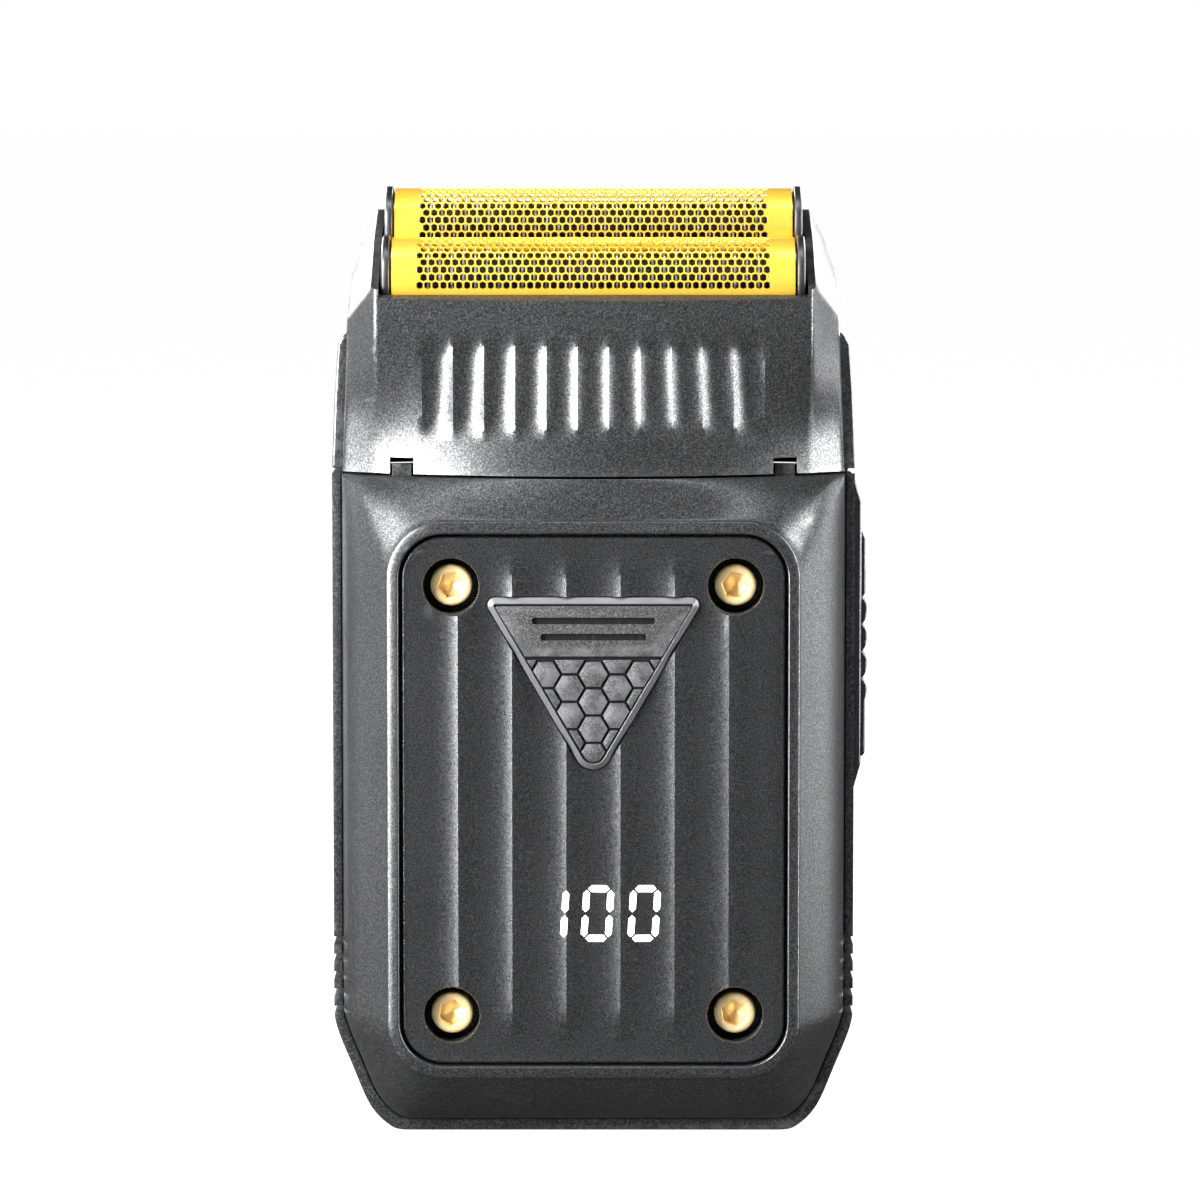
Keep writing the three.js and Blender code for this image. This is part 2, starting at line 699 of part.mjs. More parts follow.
function topDeck() {
  const low = bodyTop - 1.8;
  const w = frontHalf - wall - gap;
  const xs = [-1, -0.9, -0.7, -0.45, -0.2, 0.2, 0.45, 0.7, 0.9, 1].map((k) => k * w);
  const stations = [-0.93, -0.82, -0.68, -0.47, -0.23, 0, 0.23, 0.47, 0.68, 0.82, 0.93].map((k) => k * (half - wall));
  const edge = partingY - gap / 2 - gap;
  const front = xs.map((x) => [x, topDepth(x, frontHalf - wall, edge, headFrontY + wall) + gap]);
  const backXs = [-w, ...stations.filter((x) => Math.abs(x) < w - 0.5), w];
  const back = backXs.map((x) => [x, fullDepth(x, half - wall - 0.6, 5, headBackY - wall) - gap - 0.2]).reverse();
  const outline = [...front, ...back];
  let body = loft([outline.map(([x, y]) => [x, y, low]), outline.map(([x, y]) => [x, y, bodyTop])]);
  body = body.intersect(rearRoom());
  body = body.add(loft([collarOutline(0, bodyTop - 0.5), collarOutline(0, collarTop)]));
  body = body.subtract(loft([collarOutline(-1.3, low - 1), collarOutline(-1.3, collarTop + 1)]));
  return body;
}

function sealRing() {
  const z0 = bodyTop + 2.6;
  const ring = loft([collarOutline(0.95, z0), collarOutline(0.95, z0 + 1.2)]);
  return ring.subtract(loft([collarOutline(gap * 0.7, z0 - 1), collarOutline(gap * 0.7, z0 + 2.2)]));
}

// Head shell

// One level of the head's outside, seen from above: right half from front to back
function headRing(z, w, sag, grow = 0) {
  const rise = z - headLow;
  const climb = (lipFrontY - headFrontY) / (foilMidZ - 4.8 - headLow);
  const f = headFrontY + climb * rise + grow;
  const lean = Math.max(0, z - seamHeight - 20.3) * 0.29;
  const b = headBackY + Math.min(0.3, rise * 0.02) - lean - grow;
  const x = w - grow;
  const crease = Math.min(creaseHalf, x - 1.5);
  const square = smooth(clamp01((z - seamHeight - 10.8) / 13));
  return mirrored([
    [0, f, z],
    [crease * 0.34, f + sag * 0.115, z],
    [crease * 0.67, f + sag * 0.45, z],
    [crease, f + sag, z],
    [x, -4.9 + grow * 0.4, z],
    [x, 7, z],
    [x - 0.8, 9.8, z],
    [x - lerp(3.6, 1.9, square), b - lerp(2.4, 0.8, square), z],
    [x * 0.55, b - 0.6, z],
    [x * 0.28, b - 0.15, z],
    [0, b, z],
  ]);
}

const headSag = (z) => {
  const lip = foilMidZ - 4.8;
  return lerp(topSag * 0.74, 0.6, smooth(clamp01((z - headLow) / (lip - headLow))));
};

const headWidthAt = (z) => lerp(headHalf, headShoulder, clamp01((z - headLow) / 25));

// Depth of the head's front face at one place
function headFrontAt(x, z) {
  const climb = (lipFrontY - headFrontY) / (foilMidZ - 4.8 - headLow);
  return headFrontY + climb * (z - headLow) + headSag(z) * (x / creaseHalf) ** 2;
}

function headShell() {
  const upper = [4.2, 8.8, 12.8, 16.8, 20.8, 24.8, 28.8, 34.8].map((k) => seamHeight + k);
  const levels = [headLow, ...upper];
  let body = loft(levels.map((z) => headRing(z, headWidthAt(z), headSag(z))));
  // Everything above the sloping top, and outside the sloping ears, goes
  const roof = [
    [-earHalf, earLevel],
    [-headShoulder - 0.35, earLevel - earDrop],
    [-headHalf - 10, -45],
    [headHalf + 10, -45],
    [headShoulder + 0.35, earLevel - earDrop],
    [earHalf, earLevel],
  ];
  const roofSolid = tilted(loftGeometry([roof.map(([x, w]) => [x, -40, w]), roof.map(([x, w]) => [x, 40, w])]));
  body = body.intersect(roofSolid);
  const d = openingDepth;
  body = body.subtract(tilted(boxGeometry(-openingHalf, openingHalf, -30, 30, lipLevel, 12)));
  body = body.subtract(tilted(boxGeometry(-openingHalf, openingHalf, -d, d, -8.2, 12)));
  const insideLevels = [headLow - 2, ...upper];
  let cavity = loft(insideLevels.map((z) => headRing(z, cavityHalf + wall + 0.1, headSag(z), wall + 0.1)));
  cavity = cavity.intersect(tilted(boxGeometry(-40, 40, -40, 40, -60, -5.5)));
  body = body.subtract(cavity);
  for (const side of [-1, 1]) {
    const x = side * notchHalf;
    const w = notchWidth / 2;
    body = body.subtract(box(x - w, x + w, -20, 0, headLow - 1, headLow + notchHeight));
    const [x0, x1] = [side * buttonIn, side * (half + 9)].sort((a, b) => a - b);
    body = body.subtract(
      box(x0, x1, -buttonHalfDepth + 0.5 - gap, buttonHalfDepth + 0.5 + gap, headLow - 1, buttonHigh + gap),
    );
    const [t0, t1] = [side * (half - 7.1), side * (half - 2.1)].sort((a, b) => a - b);
    body = body.subtract(box(t0, t1, -2 - gap, 3 + gap, tabLow - gap, tabLow + 5 + gap));
  }
  for (let i = 0; i < headFluteCount; i++) {
    const x = (i - (headFluteCount - 1) / 2) * headFlutePitch;
    body = body.subtract(headFlute(x));
  }
  return body;
}

// A long smooth scoop lying along the head's front face
function headFlute(x) {
  const mid = (headFluteLow + headFluteHigh) / 2;
  const reach = (headFluteHigh - headFluteLow) / 2;
  const g = new THREE.SphereGeometry(1, 12, 10);
  g.rotateX(Math.PI / 2);
  g.scale(headFlutePitch * 0.66, 1.25, reach * 1.12);
  const slope = (headFrontAt(x, headFluteHigh) - headFrontAt(x, headFluteLow)) / (2 * reach);
  g.rotateX(-Math.atan(slope));
  g.rotateZ(Math.atan(((2 * headSag(mid)) / creaseHalf ** 2) * x));
  return solid(g.translate(x, headFrontAt(x, mid) - 0.55, mid));
}

// Foils, end caps and their carrier, in the tilted frame: y across the foils, z outwards

function foil(y) {
  const profile = new THREE.Shape();
  const steps = 20;
  const inner = foilRadius - foilThickness;
  const along = (r) => [
    [r, -foilSkirt],
    ...arcPoints(0, 0, r, 0, 180, steps + 1),
    [-r, -foilSkirt],
  ];
  const outline = [...along(foilRadius), ...along(inner).reverse()];
  profile.setFromPoints(outline.map(([a, b]) => new THREE.Vector2(a, b)));
  const g = new THREE.ExtrudeGeometry(profile, { depth: foilLength, bevelEnabled: false });
  g.rotateX(Math.PI / 2).rotateZ(Math.PI / 2);
  g.translate(-foilLength / 2 + foilLength, y, 0);
  g.computeBoundingBox();
  g.translate(-(g.boundingBox.min.x + g.boundingBox.max.x) / 2, 0, 0);
  return solid(g);
}

function capProfile(radius, low, steps = 14) {
  return [[radius, low], ...arcPoints(0, 0, radius, 0, 180, steps + 1), [-radius, low]];
}

function foilCap(y, side) {
  const slab = (outline, x0, x1) =>
    loft([outline.map(([a, b]) => [side * x0, y + a, b]), outline.map(([a, b]) => [side * x1, y + a, b])]);
  const flange = slab(capProfile(foilRadius + capRim, -4), flangeIn, flangeIn + capThickness);
  const plug = slab(capProfile(foilRadius - foilThickness - gap, -foilSkirt), foilLength / 2 - plugLength, flangeIn + 0.3);
  return flange.add(plug);
}

function foilCarrier() {
  const low = -9.7;
  const high = -8.5;
  const outside = mirroredFlat([
    [cavityHalf - 5.8, -13.8],
    [cavityHalf - 2.2, -12],
    [cavityHalf - 0.5, -9.6],
    [cavityHalf - 0.5, 4.6],
    [cavityHalf - 1.3, 6.2],
    [cavityHalf - 2.7, 7.3],
    [cavityHalf - 9.1, 9.1],
  ]);
  const opening = mirroredFlat([
    [springX - 1.4, -11.6],
    [springX - 1.4, 5.6],
    [springX - 7, 7.9],
  ]);
  const slab = (outline, z0, z1) => loft([z0, z1].map((z) => outline.map(([x, y]) => [x, y, z])));
  let body = slab(outside, low, high).subtract(slab(opening, low - 1, high + 1));
  for (const y of [-foilSpacing / 2, foilSpacing / 2]) {
    for (const side of [-1, 1]) {
      body = body.add(rod(0.45, 1.4, "z", [side * springX, y, high + 0.5], 8));
    }
  }
  return body;
}

// Right-hand points, front to back, closed with their mirror images
function mirroredFlat(right) {
  return [...right, ...right.map(([x, y]) => [-x, y]).reverse()];
}

function coil(radius, wire, length, turns, steps = 8) {
  class Helix extends THREE.Curve {
    getPoint(t) {
      const a = t * turns * Math.PI * 2;
      return new THREE.Vector3(radius * Math.cos(a), radius * Math.sin(a), t * length);
    }
  }
  const path = new Helix();
  const section = new THREE.Shape();
  const sides = 4;
  for (let i = 0; i < sides; i++) {
    const a = (i * 2 * Math.PI) / sides;
    const p = [wire * Math.cos(a), wire * Math.sin(a)];
    if (i) section.lineTo(...p);
    else section.moveTo(...p);
  }
  section.closePath();
  return new THREE.ExtrudeGeometry(section, { steps: turns * steps, extrudePath: path, bevelEnabled: false });
}

function foilSpring(x, y) {
  return solid(coil(0.85, 0.16, 4, 4).translate(x, y, -8.25));
}

// Cutter: a comb of half-round blades on a core, with a cross slot that the drive post pushes along

function cutter(y) {
  const reach = ((bladeCount - 1) * bladePitch) / 2;
  const slab = (outline, x0, x1) =>
    loft([outline.map(([a, b]) => [x0, y + a, b]), outline.map(([a, b]) => [x1, y + a, b])]);
  let body = slab(capProfile(2.7, -3.2, 4), -reach - 0.15, reach + 0.15);
  body = body.add(box(-reach - 0.15, reach + 0.15, y - 3.3, y + 3.3, -3.2, -1.6));
  const bladeShape = capProfile(bladeRadius, -0.4, 6);
  for (let i = 0; i < bladeCount; i++) {
    const x = -reach + i * bladePitch;
    body = body.add(slab(bladeShape, x - bladeThickness / 2, x + bladeThickness / 2));
  }
  const slot = postRadius + gap;
  return body.subtract(box(-slot, slot, y - 6, y + 6, -5, 0.4));
}

// Oscillating drive piece: fork over the eccentric, stem, and two posts for the cutters
const forkLow = seamHeight + 0.9;

function oscillator() {
  const plateLow = -12.2;
  const plateHigh = -10.6;
  let body = tilted(boxGeometry(-7, 7, -8, 8, plateLow, plateHigh));
  for (const y of [-foilSpacing / 2, foilSpacing / 2]) {
    const length = -1.4 - plateHigh + 0.5;
    body = body.add(tilted(rodGeometry(postRadius, length, "z", [0, y, -1.4 - length / 2], 14)));
  }
  const stemTop = foilMidZ - 9.6;
  // The slot is long enough for the pin's whole circle, and the stem stands behind it
  const slotBack = driveY + cutterStroke + pinRadius + gap;
  const slotHalf = 2 * cutterStroke + pinRadius + 0.5;
  body = body.add(box(-2.4, 2.4, slotBack + 0.4, slotBack + 2.4, forkLow + 0.5, stemTop));
  let fork = box(-slotHalf - 2.2, slotHalf + 2.2, -4.6, slotBack + 2.4, forkLow, forkLow + 1.6);
  fork = fork.subtract(box(-slotHalf, slotHalf, driveY - 4.2, slotBack, forkLow - 1, forkLow + 3));
  return body.add(fork);
}

function motorCase() {
  let body = rod(motorRadius, motorLength, "z", [0, driveY, motorTop - motorLength / 2], 32);
  const flat = motorRadius * 0.86;
  body = body.intersect(box(-flat, flat, -20, 20, 0, 100));
  body = body.subtract(rod(1.5, 12, "z", [0, driveY, motorTop], 14));
  return body.add(rod(2.6, 1.2, "z", [0, driveY, motorTop - motorLength - 0.5], 14));
}

const shaftLow = motorTop - 5.5;
const camLow = bodyTop - 2.4;

function motorShaft() {
  return rod(1.1, camLow - gap - shaftLow, "z", [0, driveY, (camLow - gap + shaftLow) / 2], 14);
}

function eccentric() {
  const disc = rod(3.6, 1.9, "z", [0, driveY, camLow + 0.95], 24);
  const pinHigh = forkLow + 1.5;
  const pin = rod(pinRadius, pinHigh - camLow, "z", [0, driveY - cutterStroke, (pinHigh + camLow) / 2], 14);
  return disc.add(pin);
}

const bracketBackY = driveY + motorRadius - 0.2;

function motorBracket() {
  const z0 = motorTop - 8;
  let body = box(-12.3, 12.3, driveY - motorRadius - 1.3, bracketBackY, z0, z0 + 2);
  body = body.subtract(rod(motorRadius + gap, 6, "z", [0, driveY, z0 + 1], 28));
  return body;
}

function battery() {
  const can = rod(batteryRadius, batteryLength, "z", [0, driveY, batteryLow + batteryLength / 2], 32);
  return can.add(rod(3, 1, "z", [0, driveY, batteryLow + batteryLength + 0.4], 16));
}

function batteryTab(z, up) {
  let body = box(-3.5, 3.5, driveY - 3.5, driveY + 3.5, z, z + 0.4);
  const [z0, z1] = up ? [z, z + 1.3] : [z - 1.3, z + 0.4];
  body = body.add(box(-3.5, 3.5, driveY - 3.5, driveY - 3.1, z0, z1));
  return body;
}

function chassis() {
  const plateHalf = screwX - rearPostRadius - gap;
  const plateY = driveY + Math.max(batteryRadius, motorRadius) + 1;
  const railX = batteryRadius + 0.6;
  const floor = batteryLow - 3.3;
  const high = motorTop - 0.2;
  const shelf = batteryLow + batteryLength - 0.5;
  let body = box(-plateHalf, plateHalf, plateY, plateY + 1.4, 8.2, high);
  for (const side of [-1, 1]) {
    const [x0, x1] = [side * railX, side * (railX + 1.6)].sort((a, b) => a - b);
    body = body.add(box(x0, x1, -5, plateY + 0.5, 8.2, shelf));
    body = body.add(box(x0, x1, bracketBackY + gap, plateY + 0.5, shelf, high));
  }
  for (const z of [8.2, floor]) {
    body = body.add(box(-railX - 1.4, railX + 1.4, -5, plateY + 0.5, z, z + 1.2));
    body = body.subtract(box(-6, 6, -6, 9, z - 1.2, z + 1.7));
  }
  for (const [x, z] of screwPlaces) {
    body = body.subtract(rod(rearPostRadius + gap, 8, "y", [x, plateY + 1, z], 20));
  }
  body = body.subtract(box(-5, 5, plateY - 1, plateY + 2, floor + 21.8, floor + 35.8));
  return body.intersect(rearRoom());
}

function mainBoard() {
  let body = box(-13.2, 13.2, boardFrontY, boardBackY, digitMid - 3.9, digitMid + 30.6);
  const chips = [
    [-9, 20.1, 5, 5],
    [6, 22.1, 4, 6],
    [-8, 10.1, 3, 3],
    [8, 12.1, 3, 4],
  ];
  for (const [x, rise, w, h] of chips) {
    const z = digitMid + rise;
    body = body.add(box(x - w / 2, x + w / 2, boardFrontY - 0.9, boardFrontY + 0.1, z - h / 2, z + h / 2));
  }
  return body;
}

const displayModule = () => box(-5.6, 8.8, panelBackY + 0.5, boardFrontY - gap, digitMid - 4.1, digitMid + 4.1);

function chargePort() {
  const z0 = 0.5;
  let body = box(-4.5, 4.5, 2.9, 6.1, z0, 7.2);
  body = body.subtract(box(-4.15, 4.15, 3.2, 5.8, z0 - 1, 6.4));
  return body.add(box(-3.3, 3.3, 4.2, 4.8, z0 + 0.8, 6.8));
}

const chargeBoard = () => box(-8, 8, 1, 8.6, 7.5, 8).intersect(rearRoom());
const chargeLight = () => rod(0.6, 5.4, "z", [9, 4.5, 3.1], 12);

function ventScreen(side) {
  const x = side * (half - wall - gap - 0.4);
  const high = ventLow + (ventCount - 1) * ventPitch + ventHeight;
  let body = box(x - 0.3, x + 0.3, -3.8, 4.8, ventLow - 0.2, high + 1);
  for (let i = 0; i < 3; i++) {
    for (let k = 0; k < 5; k++) {
      const y = -2.1 + i * 2.6;
      const z = ventLow + 0.75 + k * 2.05;
      body = body.subtract(box(x - 1, x + 1, y - 0.9, y + 0.9, z - 0.6, z + 0.6));
    }
  }
  return body.intersect(rearRoom());
}

// Power slider on the right side

function switchBase() {
  const y0 = -switchHalfDepth + 1.2;
  const y1 = switchHalfDepth + 1.2;
  const x0 = half - 0.6;
  const x1 = half + switchProud;
  const profile = [
    [x0, switchLow],
    [half, switchLow],
    [x1, switchLow + 3],
    [x1, switchHigh - 3],
    [half, switchHigh],
    [x0, switchHigh],
  ];
  let body = loft([profile.map(([x, z]) => [x, y0, z]), profile.map(([x, z]) => [x, y1, z])]);
  const track = thumbLow - gap;
  body = body.subtract(
    box(half + 0.1, half + 3, y0 + 1.2, y1 - 1.2, track, thumbLow + thumbLength + slideTravel + gap),
  );
  return body.subtract(box(half - 2, half + 2, -0.3, 2.7, slotLow + 0.2, slotLow + 10.4));
}

function switchSlider() {
  const y0 = -switchHalfDepth + 1.2 + 1.2 + gap;
  const y1 = switchHalfDepth + 1.2 - 1.2 - gap;
  const x0 = half + 0.1 + gap;
  const flat = half + thumbProud - 0.12;
  const profile = [[x0, thumbLow]];
  profile.push([flat - 0.4, thumbLow]);
  profile.push([flat, thumbLow + 0.4]);
  for (let i = 0; i < gripCount; i++) {
    const z = gripLow + i * gripPitch;
    profile.push([flat, z]);
    profile.push([flat + 0.2, z + gripPitch * 0.3]);
    profile.push([flat + 0.2, z + gripPitch * 0.6]);
    profile.push([flat - 0.35, z + gripPitch * 0.85]);
  }
  profile.push([flat, gripLow + gripCount * gripPitch]);
  profile.push([flat, thumbLow + thumbLength - 0.4]);
  profile.push([flat - 0.4, thumbLow + thumbLength]);
  profile.push([x0, thumbLow + thumbLength]);
  const shape = new THREE.Shape(profile.map(([x, z]) => new THREE.Vector2(x, z)));
  const g = new THREE.ExtrudeGeometry(shape, { depth: y1 - y0, bevelEnabled: false });
  g.rotateX(Math.PI / 2);
  g.translate(0, y1, 0);
  const stem = box(half - 3.7, x0 + 0.2, 0.1, 2.3, slotLow + 0.8, slotLow + 5.8);
  return solid(g).add(stem);
}

function powerSwitch() {
  const body = box(half - 9.3, half - 4.5, -2.6, 5, slotLow - 3.4, slotLow + 13.6);
  const notch = box(half - 5.5, half - 3.1, -0.4, 2.8, slotLow, slotLow + 10.2);
  return body.subtract(notch).add(box(half - 10.2, half - 9.1, -3, 5.4, slotLow - 4.4, slotLow + 14.6));
}

// Head release buttons

function releaseButton(side) {
  const y0 = -buttonHalfDepth + 0.5;
  const y1 = buttonHalfDepth + 0.5;
  const low = headLow + gap;
  const backX = buttonIn + buttonTravel + gap;
  const profile = [
    [backX, low],
    [half, low],
    [half - 0.35, lerp(low, buttonHigh, 0.55)],
    [half - 0.75, buttonHigh - 1],
    [half - 1.3, buttonHigh],
    [backX, buttonHigh],
  ];
  let body = loft([
    profile.map(([x, z]) => [side * x, y0, z]),
    profile.map(([x, z]) => [side * x, y1, z]),
  ]);
  const [t0, t1] = [side * (half - 6.1), side * (backX + 0.5)].sort((a, b) => a - b);
  body = body.add(box(t0, t1, -2, 3, tabLow, tabLow + 5));
  return body.subtract(rod(1.55, 2.4, "x", [side * backX, 0.5, buttonSpringZ], 16));
}

function buttonSpring(side) {
  const g = coil(1, 0.16, 1.75, 2);
  g.rotateY((side * Math.PI) / 2);
  return solid(g.translate(side * (buttonIn + 0.4), 0.5, buttonSpringZ));
}

// Assembly

const shaver = new THREE.Group();
const head = new THREE.Group();
head.position.set(0, foilMidY, foilMidZ);
head.rotation.x = headTilt;
shaver.add(head);

function add(name, made, finish, group = shaver) {
  const out = made.getMesh();
  const g = new THREE.BufferGeometry();
  const points = new Float32Array(out.numVert * 3);
  for (let i = 0; i < out.numVert; i++) {
    points.set(out.vertProperties.subarray(i * out.numProp, i * out.numProp + 3), i * 3);
  }
  g.setAttribute("position", new THREE.BufferAttribute(points, 3));
  g.setIndex(new THREE.BufferAttribute(new Uint32Array(out.triVerts), 1));
  const mesh = new THREE.Mesh(g, new THREE.MeshStandardMaterial(finishes[finish]));
  mesh.name = name;
  group.add(mesh);
}

add("rear_shell", rearShell(), "shell");
add("front_shell", frontShell(), "shell");
add("front_panel", frontPanel(), "shell");
add("badge", badge(), "gloss");
add("display_lens", displayLens(), "light");
add("display_module", displayModule(), "white");
screwPlaces.forEach(([x, z], i) => {
  add(`panel_screw_${i + 1}`, socketScrew(x, z), "brass");
  add(`rear_screw_${i + 1}`, rearScrew(x, z), "steel");
});
add("main_board", mainBoard(), "board");
add("chassis", chassis(), "dark");
add("battery", battery(), "cell");
add("battery_tab_low", batteryTab(batteryLow - 0.7, false), "steel");
add("battery_tab_high", batteryTab(batteryLow + batteryLength + 1.2, true), "steel");
add("motor_case", motorCase(), "steel");
add("motor_bracket", motorBracket(), "white");
add("motor_shaft", motorShaft(), "steel");
add("eccentric", eccentric(), "white");
add("charge_port", chargePort(), "steel");
add("charge_board", chargeBoard(), "board");
add("charge_light", chargeLight(), "light");
add("top_deck", topDeck(), "dark");
add("seal_ring", sealRing(), "rubber");
add("oscillator", oscillator(), "white");
add("switch_base", switchBase(), "gloss");
add("switch_slider", switchSlider(), "gloss");
add("power_switch", powerSwitch(), "dark");
add("head_shell", headShell(), "shell");
for (const [side, word] of [
  [-1, "left"],
  [1, "right"],
]) {
  add(`vent_screen_${word}`, ventScreen(side), "dark");
  add(`release_button_${word}`, releaseButton(side), "shell");
  add(`button_spring_${word}`, buttonSpring(side), "steel");
}
add("foil_carrier", foilCarrier(), "dark", head);
for (const [k, word] of [
  [-1, "front"],
  [1, "rear"],
]) {
  const y = (k * foilSpacing) / 2;
  add(`foil_${word}`, foil(y), "gold", head);
  add(`cutter_${word}`, cutter(y), "steel", head);
  for (const [side, end] of [
    [-1, "left"],
    [1, "right"],
  ]) {
    add(`foil_cap_${word}_${end}`, foilCap(y, side), "capSteel", head);
    add(`foil_spring_${word}_${end}`, foilSpring(side * springX, y), "steel", head);
  }
}

export default shaver;
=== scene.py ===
import json
import math

import bmesh
import bpy
import numpy as np
from mathutils import Matrix, Vector
from mathutils.geometry import delaunay_2d_cdt

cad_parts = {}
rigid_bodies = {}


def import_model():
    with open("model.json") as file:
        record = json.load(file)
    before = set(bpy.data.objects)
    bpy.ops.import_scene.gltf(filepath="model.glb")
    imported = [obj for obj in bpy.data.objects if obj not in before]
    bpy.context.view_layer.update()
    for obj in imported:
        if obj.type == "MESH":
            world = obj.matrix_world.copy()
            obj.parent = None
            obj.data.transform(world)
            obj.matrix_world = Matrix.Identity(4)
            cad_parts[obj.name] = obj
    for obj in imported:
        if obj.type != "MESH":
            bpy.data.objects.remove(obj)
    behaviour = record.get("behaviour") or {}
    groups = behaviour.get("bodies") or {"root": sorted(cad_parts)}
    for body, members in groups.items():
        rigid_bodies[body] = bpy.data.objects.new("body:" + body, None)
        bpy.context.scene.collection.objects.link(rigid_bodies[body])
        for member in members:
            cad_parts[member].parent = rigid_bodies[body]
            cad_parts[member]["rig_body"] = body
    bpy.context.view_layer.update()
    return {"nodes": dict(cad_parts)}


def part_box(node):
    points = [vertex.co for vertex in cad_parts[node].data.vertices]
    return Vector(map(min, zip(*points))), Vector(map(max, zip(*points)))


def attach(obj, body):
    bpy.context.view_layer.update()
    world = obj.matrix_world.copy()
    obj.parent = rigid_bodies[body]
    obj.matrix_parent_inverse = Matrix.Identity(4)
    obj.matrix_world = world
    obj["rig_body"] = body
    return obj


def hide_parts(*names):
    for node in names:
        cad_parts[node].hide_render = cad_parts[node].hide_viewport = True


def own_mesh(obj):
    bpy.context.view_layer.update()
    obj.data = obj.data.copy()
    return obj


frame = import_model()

# Double foil shaver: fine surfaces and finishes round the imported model.
# Shapes are worked out in millimetres, and place() turns them into metres.
cadNodes = frame["nodes"]
millimetre = 0.001
print("loaded", len(cadNodes), "nodes")


view = {
    "target": (0.78, 0, 63.5),  # looked at
    "place": (0.78, -677.1, 126.3),
    "lens": 170,
}

camera = bpy.data.objects.new("camera", bpy.data.cameras.new("camera"))
camera.location = Vector(view["place"]) * millimetre
camera.rotation_euler = (Vector(view["target"]) - Vector(view["place"])).to_track_quat("-Z", "Y").to_euler()
camera.data.lens = view["lens"]
camera.data.clip_start = 0.02
camera.data.clip_end = 20
bpy.context.scene.collection.objects.link(camera)
bpy.context.scene.camera = camera
bpy.context.scene.view_settings.view_transform = "Standard"

studio = {
    "middle": (0, 0, 0.06),  # the boxes face this point, in metres
    "floorGlow": 0.985,
    "sky": 1.0,  # behind the object
    "fill": 0.022,  # from all round
    # name: azimuth from the front (to the right), elevation, distance, width, height, watts
    "boxes": {
        "key": (-53, 18, 0.38, 0.13, 0.42, 8.0),
        "edgeLeft": (-80, 12, 0.50, 0.10, 0.50, 1.8),
        "edgeRight": (71, 12, 0.50, 0.10, 0.50, 5.6),
        "rimLeft": (-116, 12, 0.55, 0.16, 0.50, 0.3),
        "rimRight": (114, 12, 0.55, 0.16, 0.50, 1.4),
        "over": (-6, 76, 0.60, 0.50, 0.14, 0.9),
        "backLeft": (215, 24, 0.70, 0.30, 0.46, 5.0),
        "backRight": (150, 14, 0.70, 0.16, 0.46, 2.5),
    },
}


def softBox(name, azimuth, elevation, distance, width, height, watts):
    light = bpy.data.lights.new(name, "AREA")
    light.shape = "RECTANGLE"
    light.size = width
    light.size_y = height
    light.energy = watts
    obj = bpy.data.objects.new(name, light)
    a, e = math.radians(azimuth), math.radians(elevation)
    away = Vector((math.sin(a) * math.cos(e), -math.cos(a) * math.cos(e), math.sin(e)))
    obj.location = Vector(studio["middle"]) + away * distance
    obj.rotation_euler = (-away).to_track_quat("-Z", "Y").to_euler()
    bpy.context.scene.collection.objects.link(obj)


for name, values in studio["boxes"].items():
    softBox(name, *values)

world = bpy.data.worlds.new("studio")
bpy.context.scene.world = world
world.use_nodes = True
tree = world.node_tree
tree.nodes.clear()
behind, around = (tree.nodes.new("ShaderNodeBackground") for _ in range(2))
for node, strength in ((behind, studio["sky"]), (around, studio["fill"])):
    node.inputs["Color"].default_value = (1, 1, 1, 1)
    node.inputs["Strength"].default_value = strength
rays = tree.nodes.new("ShaderNodeLightPath")
both = tree.nodes.new("ShaderNodeMixShader")
out = tree.nodes.new("ShaderNodeOutputWorld")
tree.links.new(rays.outputs["Is Camera Ray"], both.inputs[0])
tree.links.new(around.outputs[0], both.inputs[1])
tree.links.new(behind.outputs[0], both.inputs[2])
tree.links.new(both.outputs[0], out.inputs["Surface"])



